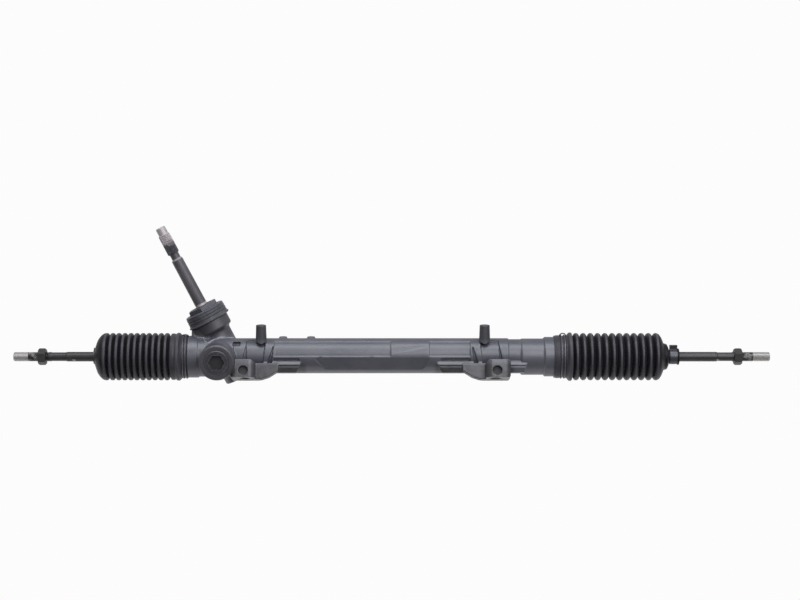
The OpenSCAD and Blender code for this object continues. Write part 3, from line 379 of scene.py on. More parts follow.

# %% [markdown]
# The pads under the two lugs were masked and machined, so bare metal shows there. The round
# recesses in the lugs, the lugs' lower fronts with the webs beside them and the upright bosses get
# painted shade: their paint is darker where shade falls. The front of the yoke's boss and the
# tower are painted darker too. Each place is a mask worked out from the position. The lugs are
# tilted, so one direction rises through them and the other runs from their front to their back.
# They mirror each other, so the distance from the middle serves for both.

# %% Bare places and painted shade on the casting
LUG_TILT = math.radians(20)
PAD_DROP = 38.5
LUG_HOLE_X, RECESS_X, RECESS_DROP = 185, 187.5, 28.5
BOSS_X, WEB_X, YOKE_X, TOWER_X = 166.5, 155, -226, -227.5
x, y, z = cast_paint.x, cast_paint.y, cast_paint.z
side = abs(x)
rising = y * math.sin(LUG_TILT) + z * math.cos(LUG_TILT)
backward = y * math.cos(LUG_TILT) - z * math.sin(LUG_TILT)

bare = rising.ramp(-(PAD_DROP - 0.55), -(PAD_DROP - 0.2)) * y.ramp(-14, -18) \
    * side.near(LUG_HOLE_X, 24.5)
# Painted shade: the round recess in each lug is painted darker, where shade falls in it.
beside, above = side - RECESS_X, rising + RECESS_DROP
recess_shade = (beside * beside + above * above).ramp(50, 42) \
    * backward.band((-44.2, -43.4), (-38, -37))
# Painted shade: the upper parts of the upright bosses are painted darker.
upright_shade = z.ramp(26.5, 31) * side.near(BOSS_X, 13.5)
yoke_front = y.ramp(-34, -45) * x.near(YOKE_X, 27.5)
# Painted shade: the lower fronts of the lugs and the webs beside them are painted darker, with a
# little random variation.
shaded_web = (backward.ramp(-26.5, -29.5) | z.ramp(-5, -9)) * y.ramp(-2, -6) * z.ramp(2, -6)
lug_front_shade = shaded_web * side.near(WEB_X, 55, 7) * (0.7 + cast_paint.noise(11, 3).ramp(0.4, 0.65) * 0.3)
tower = z.ramp(30, 36) * x.near(TOWER_X, 40, 6)
# Painted shade in the recesses, on the upright bosses and on the lugs' fronts; the yoke boss's
# front and the tower are only painted darker.
painted_shade_and_darker = recess_shade * 0.9 | upright_shade * 0.65 | yoke_front * 0.5 | lug_front_shade | tower * 0.6
print("with its masks the cast paint uses", len(cast_paint.tree.nodes), "nodes")

# %% Cast paint
oily = cast_paint.noise(9, 3, stretch=(1, 0.3, 1)).ramp(0.42, 0.62)
cutter = cast_paint.noise(0.5, 2, stretch=(0.06, 1, 1))
metal = cast_paint.mix(oily, (0.25, 0.24, 0.235), (0.15, 0.13, 0.115))
cast_paint.feed(
    base_color=cast_paint.mix(bare, cast_paint.mix(painted_shade_and_darker, painted, GRIME_AND_SHADE), metal),
    metallic=bare * 0.55,
    roughness=0.32 + cast_paint.noise(5, 3) * 0.12 + bare * 0.08 + painted_shade_and_darker * 0.1 + recess_shade * 0.3)
cast_paint.bump(grain * (1 - bare) + cutter * bare * 0.2, 0.16)
print("the whole cast paint uses", len(cast_paint.tree.nodes), "nodes")

# %% [markdown]
# The machined cap, lock nut and yoke plug were painted with the housing and have no casting grain.
# Their edges are crisp, and the paint wears through on them first. A Bevel node finds the edges
# and lets a little metal through. The plug is adjusted with a key, so it is grimier, and every
# edge of it is painted light as a painted highlight.

# %% Plain paint for turned pieces
turned_paint, plug_paint = Finish("turned_paint"), Finish("plug_paint")
for f, edge_mm, grime, edge_highlight in ((turned_paint, 0.4, 0.1, 0), (plug_paint, 1.1, 0.7, 0.8)):
    # Lighter edges: paint worn through at random, and on the plug a painted highlight along every
    # edge.
    bright_edges = f.edge_mask(edge_mm) * (f.noise(2.2, 4, 0.7).ramp(0.42, 0.6) * 0.6 | edge_highlight)
    colour = f.mix(f.noise(9, 2).ramp(0.2, 0.4) * grime, paint_colours(f), GRIME_AND_SHADE)
    f.feed(base_color=f.mix(bright_edges * 0.75, colour, (0.3, 0.3, 0.31)), metallic=bright_edges * 0.5,
           roughness=0.34 + f.noise(4, 3) * 0.14)
    f.bump(f.noise(1.6, 3) * 0.5, 0.04)
print("each turned paint uses", len(turned_paint.tree.nodes), "nodes")

# %% [markdown]
# The bellows and the dust boot are moulded rubber: nearly black, matte, with a thin grey bloom
# that lies thicker in some places. Rubber scatters light at a grazing angle, which a little sheen
# copies. On the bellows the bloom lies on what hands and boxes touch: the folds' crests and the
# large cuffs. The crests are also painted lighter as a painted highlight along each lit crest.

# %% Rubber
CREST = 35.5
LARGE_CUFF_END = 300


def rubber_finish(name, dark, bloom, share, rough, folded=False):
    f = Finish(name, sheen_weight=0.04 if folded else 0.12, sheen_roughness=0.45,
               specular_ior_level=0.2 if folded else 0.45)
    cloud = f.noise(16, 4, 0.6)
    grain = f.noise(0.9, 3, 0.6)
    colour = f.mix(cloud.ramp(0.4, 0.7) * share, dark, bloom)
    if folded:
        from_axis_squared = f.y * f.y + f.z * f.z
        # Painted highlight with bloom: the crests of the folds are painted lighter.
        crest_highlight = from_axis_squared.ramp((CREST - 0.5) ** 2, CREST ** 2)
        cuff = abs(f.x).ramp(LARGE_CUFF_END + 1.5, LARGE_CUFF_END - 1.5)
        lighter_places = (crest_highlight * (0.5 + cloud * 0.6)) | (cuff * (0.3 + cloud * 0.4))
        colour = f.mix(lighter_places, colour, (0.062, 0.060, 0.068))
    f.feed(base_color=colour, roughness=rough + grain * 0.12 - cloud * 0.08)
    f.bump(grain * 0.6 + f.noise(5, 3) * 0.5, 0.07 if folded else 0.03)
    return f


bellows_rubber = rubber_finish("bellows_rubber", (0.0035, 0.0035, 0.005),
                               (0.009, 0.0088, 0.0105), 0.7, 0.38, folded=True)
boot_rubber = rubber_finish("boot_rubber", (0.034, 0.034, 0.041), (0.066, 0.066, 0.073), 0.9, 0.5)
seal_rubber = rubber_finish("seal_rubber", (0.02, 0.02, 0.022), (0.03, 0.03, 0.03), 0.5, 0.5)
print("rubbers:", [f.material.name for f in (bellows_rubber, boot_rubber, seal_rubber)])

# %% [markdown]
# The tie rods are steel under thin black paint. The paint stops short of the outer threads, whose
# bare ends are grey and a little dull from storage, and spanners have scraped the shanks. The
# masks use the station along the rod, because the rod keeps its own coordinates when it swings.

# %% Tie rod finish
def rod_finish(name, bare_from, nut_edge, scrape_at):
    """Stations, in mm, of the bare thread's start, the lock nut's edge and a scrape."""
    f = Finish(name, specular_ior_level=0.5)
    along = abs(f.x)
    wear = f.noise(5, 4, 0.65, stretch=(0.5, 1, 1))
    thread = along.ramp(bare_from, bare_from + 0.8)
    lighter_places = along.ramp(nut_edge - 1, nut_edge + 2) * wear.ramp(0.45, 0.6) * 0.6
    scrape = (1 - abs(along - scrape_at).ramp(1, 4.5)) * (1 - abs(f.z + 4.5).ramp(0.5, 2.2))
    scraped = scrape * f.noise(1.2, 3, 0.7, stretch=(0.4, 1, 1)).ramp(0.48, 0.54)
    metal = thread | lighter_places | scraped
    rust = f.noise(2.5, 4, 0.7).ramp(0.56, 0.74)
    black = f.mix(f.noise(14, 3).ramp(0.4, 0.7), (0.017, 0.0155, 0.0155), (0.034, 0.029, 0.027))
    steel = f.mix(rust * 0.45, (0.47, 0.46, 0.44), (0.2, 0.15, 0.11))
    f.feed(base_color=f.mix(metal, black, steel), metallic=metal * 0.85,
           roughness=0.33 + f.noise(3, 3) * 0.16 + metal * 0.06)
    f.bump(f.noise(2.4, 3, 0.5), 0.03)
    return f


left_rod_finish = rod_finish(
    "left_rod_finish", bare_from=512.6, nut_edge=498.5, scrape_at=444.0)
right_rod_finish = rod_finish(
    "right_rod_finish", bare_from=571.9, nut_edge=556.5, scrape_at=520.0)
print("rod finishes:", left_rod_finish.material.name, right_rod_finish.material.name)

# %% [markdown]
# The input shaft is forged steel with a thin grey coat that ends at the pinch groove. Above the
# groove the serrations are bright. Stations are measured along the leaning axis with a dot
# product. Bare metal also shows on a ring above the boot, on a worn rim and on everything inside
# the gear.

# %% Input shaft finish
def shaft_station(f):
    """Distance along the pinion's axis from the rack's axis, in mm."""
    from_crossing = f.node("ShaderNodeVectorMath", {"operation": "SUBTRACT"},
                           {0: f.place_mm, 1: (PINION_X, PINION_Y, 0)})
    return f.node("ShaderNodeVectorMath", {"operation": "DOT_PRODUCT"},
                  {0: from_crossing, 1: PINION_AXIS}, "Value")


shaft_finish = Finish("shaft_finish")
station = shaft_station(shaft_finish)
mottle = shaft_finish.noise(6, 3, 0.5)
serrations = station.ramp(189, 193) * (0.72 + mottle.ramp(0.35, 0.6) * 0.28)
ring = station.band((84.6, 85.2), (87.4, 89.5))
inside_gear = 1 - station.ramp(55, 58)
rim = station.band((161.5, 163.5), (164.6, 165.6)) * 0.5
dark_band = station.band((172, 174), (188, 190))
coat = shaft_finish.mix(shaft_finish.noise(22, 3, stretch=(1, 1, 0.4)).ramp(0.4, 0.65),
                        (0.052, 0.048, 0.053), (0.075, 0.069, 0.074))
coat = shaft_finish.mix(dark_band * 0.35, coat, (0.03, 0.031, 0.036))
steel = shaft_finish.mix(mottle.ramp(0.45, 0.66), (0.46, 0.43, 0.43), (0.33, 0.29, 0.28))
bright_edges = shaft_finish.edge_mask(0.5) * mottle.ramp(0.45, 0.6) * (1 - station.ramp(158, 160)) * 0.3
metal = serrations | ring | rim | inside_gear | bright_edges
shaft_finish.feed(base_color=shaft_finish.mix(metal, coat, steel), metallic=metal * 0.5,
                  roughness=0.36 + mottle * 0.12 + metal * 0.1)
shaft_finish.bump(shaft_finish.noise(2.2, 2), 0.012)
print("shaft finish uses", len(shaft_finish.tree.nodes), "nodes")

# %% [markdown]
# The remaining finishes are small variations: dark wire and bands, ground and turned steel inside
# the gear, blackened sockets and nuts, a light colour for the painted highlight on the mould line,
# pale plastic for the liner and seats, and the orange plug in the shaft's tip.

# %% Steel, wire and plastic
def steel_finish(name, bright, dark, rough, grain=(1, 1, 1), oil=0.3, metal=1.0):
    f = Finish(name, metallic=metal)
    stain = f.noise(6, 4, 0.6).ramp(0.4, 0.7)
    f.feed(base_color=f.mix(stain * oil, bright, dark), roughness=rough + f.noise(2, 3) * 0.12)
    f.bump(f.noise(0.5, 2, stretch=grain), 0.02, f.soft_normal(0.3))
    return f


def plastic_finish(name, light, stained, rough):
    f = Finish(name, specular_ior_level=0.45)
    f.feed(base_color=f.mix(f.noise(4, 4, 0.6).ramp(0.4, 0.7) * 0.6, light, stained),
           roughness=rough + f.noise(1.5, 3) * 0.1)
    f.bump(f.noise(0.8, 3), 0.03, f.soft_normal(0.4))
    return f


ground_steel = steel_finish("ground_steel", (0.6, 0.6, 0.6), (0.4, 0.37, 0.33), 0.16)
turned_steel = steel_finish("turned_steel", (0.5, 0.5, 0.5), (0.3, 0.27, 0.23), 0.26,
                            grain=(1, 0.1, 1))
rack_steel = steel_finish("rack_steel", (0.55, 0.55, 0.55), (0.33, 0.3, 0.24), 0.18,
                          grain=(0.1, 1, 1), oil=0.5)
socket_black = steel_finish("socket_black", (0.05, 0.047, 0.046), (0.09, 0.075, 0.06), 0.38,
                            metal=0.3)
nut_black = steel_finish("nut_black", (0.03, 0.028, 0.028), (0.055, 0.046, 0.04), 0.36, metal=0.25)
clamp_wire = steel_finish("clamp_wire", (0.13, 0.13, 0.145), (0.05, 0.05, 0.055), 0.34, metal=0.7)
# A light colour for the painted highlight on top of the mould line.
seam_highlight = steel_finish("seam_highlight", (0.3, 0.3, 0.33), (0.16, 0.16, 0.18), 0.34, metal=0.3)
clamp_band = steel_finish("clamp_band", (0.06, 0.062, 0.068), (0.03, 0.03, 0.03), 0.3, metal=0.6)
pale_plastic = plastic_finish("pale_plastic", (0.78, 0.75, 0.66), (0.6, 0.55, 0.44), 0.38)
plug_orange = plastic_finish("plug_orange", (0.62, 0.085, 0.025), (0.4, 0.05, 0.02), 0.42)
print(len(bpy.data.materials), "finishes so far")

# %% [markdown]
# The housing is one aluminium casting with fillets where its ribs, lugs, bosses and tower meet.
# The CAD solid has the exact places but sharp corners. A fine voxel remesh fuses its faces into
# even squares, and smoothing those rounds every edge, outside and inside, like the radii of a
# casting mould. The witness line where the mould's halves met runs round the tower. A wire along
# it is added first, so that it melts into the surface, and a thinner, lighter one on its top is a
# painted highlight along the line's lit top. The line was drawn as it is seen, so rays along the
# line of sight find where it lies on the surface. They fall a little more steeply than the camera,
# which looks at a point above the rack.

# %% Rays onto the CAD housing
VIEW_DOWN = math.radians(9.3)
RAY_START = 0.3
ray = Vector((0, math.cos(VIEW_DOWN), -math.sin(VIEW_DOWN)))
housing_mesh = nodes["rack_housing"].data
housing_tree = BVHTree.FromPolygons([v.co.copy() for v in housing_mesh.vertices],
                                    [list(p.vertices) for p in housing_mesh.polygons])


def on_front(x_mm, up_mm):
    """The housing's surface, in mm, at this x and this height above the rack, as seen in front."""
    start = Vector((x_mm, 0, up_mm / math.cos(VIEW_DOWN))) * MM - ray * RAY_START
    hit = housing_tree.ray_cast(start, ray)[0]
    return hit / MM if hit else None


print("front of the tube at x 0:", [round(v, 2) for v in on_front(0, 0)])

# %% The mould's line round the tower
def spaced(points, step):
    """Points at even steps along straight runs between the given points."""
    out = [Vector(points[0])]
    for a, b in zip(points, points[1:]):
        a, b = Vector(a), Vector(b)
        count = max(1, round((b - a).length / step))
        out += [a.lerp(b, k / count) for k in range(1, count + 1)]
    return out


tower_seam = [(-267.8, 35.0), (-259, 28.6), (-250, 27.8), (-244.4, 21.2), (-241, 21.2),
              (-234.5, 25.3), (-224.8, 28.1), (-215, 28.1), (-203.6, 28.6)]
seen = [on_front(p.x, p.y) for p in spaced([(*q, 0) for q in tower_seam], 1.2)]
seam_points = [p for p in seen if p]
print("seam around the tower:", len(seam_points), "points")

# %% Melt the CAD housing into a casting
VOXEL = 0.75 * MM
SMOOTH_ROUNDS = 3


def melted(name, sources, finish):
    """The union of closed meshes as one even mesh with rounded edges."""
    b = bmesh.new()
    for mesh in sources:
        b.from_mesh(mesh)
    bmesh.ops.remove_doubles(b, verts=b.verts, dist=1e-6)
    mesh = bpy.data.meshes.new(name)
    b.to_mesh(mesh)
    b.free()
    made = new_piece(name, mesh, finish)
    remesh = made.modifiers.new("voxels", "REMESH")
    remesh.mode, remesh.voxel_size = "VOXEL", VOXEL
    smooth = made.modifiers.new("fillets", "SMOOTH")
    smooth.factor, smooth.iterations = 0.5, SMOOTH_ROUNDS
    with_modifiers = made.evaluated_get(bpy.context.evaluated_depsgraph_get())
    fused = bpy.data.meshes.new_from_object(with_modifiers)
    made.modifiers.clear()
    made.data = fused
    fused.materials.clear()
    fused.materials.append(finish.material)
    fused.shade_smooth()
    return made


seam = wire_mesh("seam", [(seam_points, False)], 1.3, 8)
casting = melted("housing_casting", [housing_mesh, seam], cast_paint)
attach(casting, "housing")
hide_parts("rack_housing")
print("casting:", len(casting.data.polygons), "faces")

# %% The painted highlight on top of that line
# Painted highlight: a lighter wire on the line's top stands in for the light it catches.
highlight_points = [p - ray for p in seam_points]
seam_highlight_line = new_piece(
    "mould_line_highlight", wire_mesh("mould_line_highlight", [(highlight_points, False)], 0.55, 8), seam_highlight)
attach(seam_highlight_line, "housing")
print("mould line:", len(highlight_points), "points")

# %% [markdown]
# A bellows is a thin rubber concertina. Its large cuff grips the housing, its small cuff grips the
# tie rod, and the folds between them take up the rack's travel. Each fold has a round crest and a
# narrow root. One continuous outline runs out along the outside and back along the inside, so the
# wall is real. It is cut into lengths where it would change what it follows: for the rack's slide,
# and for the tie rod's swing in two steps, one for each way the ball joint turns. Only the left
# small cuff is attached, to the left tie rod; the other lengths stay where they are drawn. On the
# left the cut for the swing lies at the dome's narrow end: a wide part would stand out of the
# bellows as a spike. The price is that the cuff inside crosses the dome's wall when the left rod
# swings. By calculation that starts at about one degree up or down and nine fore or aft.

# %% Fold outline
ROOT, WALL = 26.5, 1.9


def folds(first, pitch, count, fullness):
    """Stations and radii of a row of folds, from the root before the first to the one after the
    last. A fuller fold has a broader crest and a narrower slit beside it."""
    points, steps = [], 14
    for i in range(count * steps + 1):
        phase = i / steps
        from_crest = abs(phase % 1 - 0.5) * 2
        lift = (1 - from_crest ** fullness) ** 0.5
        points.append((first + (phase - 0.5) * pitch, ROOT + (CREST - ROOT) * lift))
    return points


def hollows(first, pitch, count):
    """The inside of the same folds, whose walls nearly fill them."""
    half, top = 0.42 * pitch - WALL, CREST - WALL
    rise = [(half + 0.3, ROOT - WALL), (half, top - 3.6), (half * 0.7, top - 1.4),
            (half * 0.3, top)]
    shape = [(-offset, radius) for offset, radius in rise] + rise[::-1]
    return [(first + i * pitch + offset, radius)
            for i in range(count) for offset, radius in shape]


def moulding_lines(station, angle, radius):
    """Two thin lengthwise lines where the halves of the rubber's mould met."""
    return radius + (0.22 if abs(math.sin(angle - 0.9)) < 0.016 else 0)


left_first, left_pitch, left_count = 305, 9.06, 11
right_first, right_pitch, right_count = 307.5, 10.87, 12
left_folds = folds(left_first, left_pitch, left_count, 2.8)
right_folds = folds(right_first, right_pitch, right_count, 2.2)
left_last = left_first + (left_count - 1) * left_pitch
right_last = right_first + (right_count - 1) * right_pitch
print("left folds:", len(left_folds), "points; right folds:", len(right_folds), "points")

# %% Bellows builder
ROUND_STEPS = 160


def cut_outline(outside, inside, low, high):
    """The part of a wall between two stations, closed at both cuts."""
    def between(points):
        kept = []
        for a, b in zip(points, points[1:]):
            if low <= a[0] <= high:
                kept.append(a)
            for edge in (low, high):
                if (a[0] - edge) * (b[0] - edge) < 0:
                    t = (edge - a[0]) / (b[0] - a[0])
                    kept.append((edge, a[1] + t * (b[1] - a[1])))
        if low <= points[-1][0] <= high:
            kept.append(points[-1])
        return kept
    return between(outside) + between(inside)[::-1]


def bellows_length(name, outline, axis, bodies, start=0, end=0, node=None):
    """One length of a bellows. With one body it is attached to it, and with two it stays where it
    is drawn.
    """
    made = new_piece(
        name, turned_mesh(name, outline, axis, ROUND_STEPS, moulding_lines), bellows_rubber, 60)
    along = axis.to_3x3() @ Vector((0, 0, 1))
    if len(bodies) == 2:
        along * (start * MM)
        along * (end * MM)
        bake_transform(made)
    else:
        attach(made, *bodies)
    if node:
        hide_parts(node)


print("each length is turned in", ROUND_STEPS, "steps")

# %% Left bellows
CUFF_IN = 29.25
left_start = 272.9
left_slide, left_swing, left_rim = left_last + 0.4, left_last + 14.5, left_last + 16.2
left_cuff = rounded([
    (left_start, 31.7, 0.4), (273.7, 31.7, 0.3), (274.1, 31.1, 0.3), (276.2, 31.1, 0.3),
    (276.6, 31.8, 0.3), (278.2, 31.8, 0.3), (278.5, 31.1, 0.3), (280.6, 31.1, 0.3),
    (281.0, 31.9, 0.4), (282.4, 32.4, 0.6), (284.4, 34.2, 1.2),
    (285.8, 35.9, 1.5), (289.2, 35.9, 2.0), (291.2, 33.9, 1.6), (294.0, 34.9, 1.8),
    (297.6, 34.9, 1.8), (299.4, 31.6, 0.8)])
dome = [(left_last + past, radius) for past, radius in (
    (3, 35.1), (5.7, 33.7), (8.4, 31.2), (11.1, 27.9), (12.5, 25.5), (13.9, 22.1), (14.5, 20.4),
    (15.2, 18.3), (16.2, 15.9))]
dome_inside = [(left_last + past, radius) for past, radius in (
    (2.4, 33.3), (4.8, 32.1), (7, 29.7), (9.2, 26.9), (10.9, 24.4), (12.3, 21.2), (13.3, 18.6),
    (14.5, 16.6), (16.2, 15.0))]
left_outside = left_cuff + [p for p in left_folds if p[0] <= left_last] + dome
left_inside = [(left_start, CUFF_IN), (298.8, CUFF_IN), (298.8, ROOT - WALL)] \
    + [p for p in hollows(left_first, left_pitch, left_count) if p[0] < left_last] + dome_inside
bellows_length("left_bellows_folds",
               cut_outline(left_outside, left_inside, left_start, left_slide),
               LEFT, ("housing", "rack"), 294, left_slide, "left_bellows")
bellows_length("left_bellows_shoulder",
               cut_outline(left_outside, left_inside, left_slide, left_swing),
               LEFT, ("rack", "left_seat"), left_last + 9, left_swing)
bellows_length("left_bellows_rim",
               cut_outline(left_outside, left_inside, left_swing, left_rim),
               LEFT, ("left_seat", "left_rod"), left_swing, left_rim)
left_tuck = rounded([
    (left_rim, 15.9), (left_rim + 0.3, 15.2, 0.2), (left_rim, 14.2, 0.3), (404.0, 14.2, 0.8),
    (404.0, 10.1, 0.8), (414.2, 10.1, 0.3), (414.2, 7.5, 0.3), (402.4, 7.5, 0.3),
    (402.4, 15.0, 0.8), (left_rim, 15.0)])
bellows_length("left_bellows_cuff", left_tuck, LEFT, ("left_rod",))
print("left bellows in four lengths, with", len(left_outside), "outside points")

# %% Right bellows
right_start = 273.7
right_slide, right_swing, right_rim = right_last + 1.4, right_last + 9.4, right_last + 17.4
right_cuff = rounded([
    (right_start, 31.6, 0.4), (276.4, 31.6, 0.3), (276.9, 32.2, 0.3), (281.6, 32.2, 0.4),
    (283.2, 31.2, 0.3), (290.8, 31.2, 0.3), (291.4, 31.9, 0.4), (293.0, 32.2, 0.6),
    (294.8, 34.2, 1.0), (296.6, 36.3, 1.5), (300.6, 36.4, 2.0), (301.6, 31.0, 1.0)])
end_flank = [(right_last + 1.4, CREST - 0.1), (right_last + 4.6, 33.6), (right_last + 7.4, 29.6),
             (right_last + 9.4, 25.2)]
right_outside = right_cuff + [p for p in right_folds if p[0] <= right_last] + end_flank
right_inside = [(right_start, CUFF_IN), (296.6, CUFF_IN), (300.4, ROOT - WALL)] \
    + [p for p in hollows(right_first, right_pitch, right_count) if p[0] < right_last] \
    + [(right_last + 3.4, 31.6), (right_last + 6.0, 27.6), (right_last + 9.4, 17.4)]
bellows_length("right_bellows_folds",
               cut_outline(right_outside, right_inside, right_start, right_slide),
               RIGHT, ("housing", "rack"), 297.5, right_slide, "right_bellows")
bellows_length("right_bellows_shoulder",
               cut_outline(right_outside, right_inside, right_slide, right_swing),
               RIGHT, ("rack", "right_seat"), right_slide + 3, right_swing)
neck_points = [
    (9.4, 25.2), (10.4, 21.4, 0.6), (12.4, 19.9, 0.6), (16.2, 19.0, 1.6), (18.4, 14.6, 1.0),
    (19.2, 10.4, 0.8), (20.6, 10.2, 0.4), (32.3, 10.2, 0.3), (32.6, 12.3, 0.5), (34.6, 12.3, 0.6),
    (34.8, 7.5, 0.3), (17.0, 7.5, 0.4), (15.4, 16.6, 1.2), (9.4, 17.4)]
neck = rounded([(right_last + past, *rest) for past, *rest in neck_points])
bellows_length("right_bellows_neck", neck, RIGHT, ("right_seat", "right_rod"),
               right_swing, right_rim)
print("right bellows in three lengths, with", len(right_outside), "outside points")

# %% [markdown]
# The large cuffs are held by wire clamps: spring wire goes twice round the cuff and its two ends
# are twisted into a small loop. The wire sits in the cuff's groove. The small cuffs have a narrow
# band whose ear is pinched.

# %% Wire clamps
WIRE, GROOVE_FLOOR = 0.95, 31.15
RING_STEPS, EAR_STEPS = 96, 24


def ring_points(axis_sign, station, radius, wave):
    """A ring round the rack that wanders a little to both sides."""
    out = []
    for k in range(RING_STEPS):
        a = 2 * math.pi * k / RING_STEPS
        s = station + wave * math.sin(3 * a)
        out.append((axis_sign * s, -math.sin(a) * radius, math.cos(a) * radius))
    return out


def ear_points(axis_sign, station, radius, height, lean):
    """A wire loop that stands on the ring's top and leans forward."""
    out = []
    for k in range(EAR_STEPS + 1):
        a = math.pi * (k / EAR_STEPS)
        up = math.sin(a) * height
        side = -math.cos(a) * 4.6
        out.append((axis_sign * (station + side), -2.0 - lean * up, radius + up))
    return out


def wire_clamp(name, axis_sign, station, spread, ear_at, ear_height, node):
    radius = GROOVE_FLOOR + WIRE
    lines = [(ring_points(axis_sign, station - spread, radius, 0.25), True),
             (ring_points(axis_sign, station + spread, radius, 0.35), True),
             (ear_points(axis_sign, ear_at, radius - 0.6, ear_height, 0.45), False)]
    made = new_piece(name, wire_mesh(name, lines, WIRE), clamp_wire, 60)
    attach(made, "housing")
    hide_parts(node)
    print(name, "has", len(made.data.polygons), "faces")


wire_clamp("left_wire_clamp", -1, station=277.35, spread=2.15, ear_at=277.3, ear_height=2.4,
           node="left_bellows_large_clamp")
wire_clamp("right_wire_clamp", 1, station=287.0, spread=2.4, ear_at=287.0, ear_height=4.5,
           node="right_bellows_large_clamp")

# %% Band clamps
BAND_IN, BAND_THICK, BAND_STEPS = 10.35, 0.9, 4


def band_clamp(name, axis, sign, station, width, ear_top, ear_t, body, node):
    """A flat band round a small cuff, with an upright ear of thickness ear_t."""
    band_out, far = BAND_IN + BAND_THICK, station + width
    band = turned_mesh(name, rounded([(station, BAND_IN, 0.2), (station, band_out, 0.3),
                                      (far, band_out, 0.3), (far, BAND_IN, 0.2)]), axis, 96)
    b = bmesh.new()
    b.from_mesh(band)
    low = BAND_IN + 0.2
    waist = low + (ear_top - low) * 0.55
    rise = [(0.5, low), (0.42, waist), (0.62, ear_top - 0.7), (0.35, ear_top)]
    profile = [(-share * ear_t, up) for share, up in rise] \
        + [(share * ear_t, up) for share, up in reversed(rise)]
    rows = []
    for step in range(BAND_STEPS + 1):
        s = station + width * step / BAND_STEPS
        pinch = 1 - 0.12 * math.sin(math.pi * step / BAND_STEPS)
        rows.append([b.verts.new((sign * s * MM, y * pinch * MM, z * MM)) for y, z in profile])
    for one, two in zip(rows, rows[1:]):
        for k in range(len(profile)):
            n = (k + 1) % len(profile)
            b.faces.new((one[k], two[k], two[n], one[n]))
    b.faces.new(rows[0])
    b.faces.new(rows[-1][::-1])
    bmesh.ops.recalc_face_normals(b, faces=b.faces)
    b.to_mesh(band)
    b.free()
    made = new_piece(name, band, clamp_band, 35)
    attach(made, body)
    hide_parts(node)
    print(name, "has", len(made.data.polygons), "faces")


band_clamp("left_band_clamp", LEFT, -1, left_last + 12.2, width=7.0, ear_top=13.2, ear_t=3.2,
           body="left_rod", node="left_bellows_small_clamp")
band_clamp("right_band_clamp", RIGHT, 1, right_last + 20.8, width=11.2, ear_top=17.6, ear_t=6.4,
           body="right_rod", node="right_bellows_small_clamp")

# %% [markdown]
# The dust boot is a rubber collar pushed over the tower's neck. It has a thin lip at the bottom,
# three grooves round its side and a soft rounded top edge.

# %% Dust boot
boot = rounded([(59.5, 27.1), (59.5, 31.6, 0.5), (60.4, 32.5, 0.5), (61.6, 32.5, 0.5),
                (62.6, 31.0, 0.6), (65.2, 30.9, 0.5), (65.9, 29.7, 0.4), (66.6, 30.9, 0.5),
                (69.8, 30.8, 0.5), (70.5, 29.5, 0.4), (71.2, 30.8, 0.5), (74.2, 30.6, 0.5),
                (74.8, 29.7, 0.4), (75.4, 30.5, 0.5), (78, 30.0, 2.0), (78, 23.8, 0.8),
                (76.4, 22.05), (74.05, 22.05), (74.05, 27.1)])
boot_piece = new_piece(
    "dust_boot", turned_mesh("dust_boot", boot, PINION, ROUND_STEPS), boot_rubber, 50)
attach(boot_piece, "housing")
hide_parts("pinion_dust_boot")
print("dust boot:", len(boot_piece.data.polygons), "faces")

# %% [markdown]
# A tie rod is a forged bar with a ball at its inner end and an M14 thread with 1.5 mm pitch at
# its outer end. The thread is cut into the turned mesh by a groove that follows a helix: the
# phase grows with both station and angle. It fades in over the first turns, as a real thread runs
# out of its bar.

# %% Threads
THREAD_PITCH, THREAD_DEPTH = 1.5, 0.85
FADE_IN, FADE_OUT = 3, 1.2


def threaded(start, end):
    """A groove function that cuts the thread between two stations and leaves thin necks alone."""
    def groove(station, angle, radius):
        if not start <= station <= end or radius < 5:
            return radius
        phase = (station / THREAD_PITCH - angle / (2 * math.pi)) % 1
        depth = THREAD_DEPTH * min(1, abs(phase - 0.5) * 2.3)
        fade = min(1, (station - start) / FADE_IN, (end - station + FADE_OUT) / FADE_OUT)
        return radius - (THREAD_DEPTH - depth) * max(0, fade)
    return groove


BALL_R, SHANK_R, WAIST_R, THREAD_R = 13, 7.2, 6.5, 7.0
ROD_REACH, THREAD_RUN, THREAD_STEP = 205, 53.8, 0.25


def tie_rod(name, axis, ball, finish, body, node):
    """Ball, neck, shank, waist and thread. The station ball is the ball's centre."""
    tip = ball + ROD_REACH
    sphere = [(ball - BALL_R * math.cos(math.radians(a)), BALL_R * math.sin(math.radians(a)))
              for a in range(0, 147, 6)]
    shank = rounded([(ball + 12.4, 7.0, 0.8), (ball + 20, 7.0, 1.5), (ball + 24, SHANK_R, 1.5),
                     (tip - 80, SHANK_R, 1.5), (tip - 78, WAIST_R, 1.2),
                     (tip - 56.6, WAIST_R, 0.6), (tip - 55.6, THREAD_R - 0.05, 0.3)])
    steps = round(THREAD_RUN / THREAD_STEP)
    thread = [(tip - 55.2 + THREAD_RUN * k / steps, THREAD_R) for k in range(steps + 1)]
    end = rounded([(tip - 1.2, THREAD_R, 0.2), (tip, 5.9, 0.5), (tip, 0)])
    outline = sphere + shank + thread + end
    mesh = turned_mesh(name, outline, axis, 64, threaded(tip - 55, tip))
    made = new_piece(name, mesh, finish, 30)
    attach(made, body)
    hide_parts(node)
    return made


LEFT_BALL, RIGHT_BALL = 330, 393
left_rod = tie_rod("left_rod", LEFT, LEFT_BALL, left_rod_finish, "left_rod", "left_tie_rod")
right_rod = tie_rod(
    "right_rod", RIGHT, RIGHT_BALL, right_rod_finish, "right_rod", "right_tie_rod")
print("faces of the rods:", len(left_rod.data.polygons), len(right_rod.data.polygons))

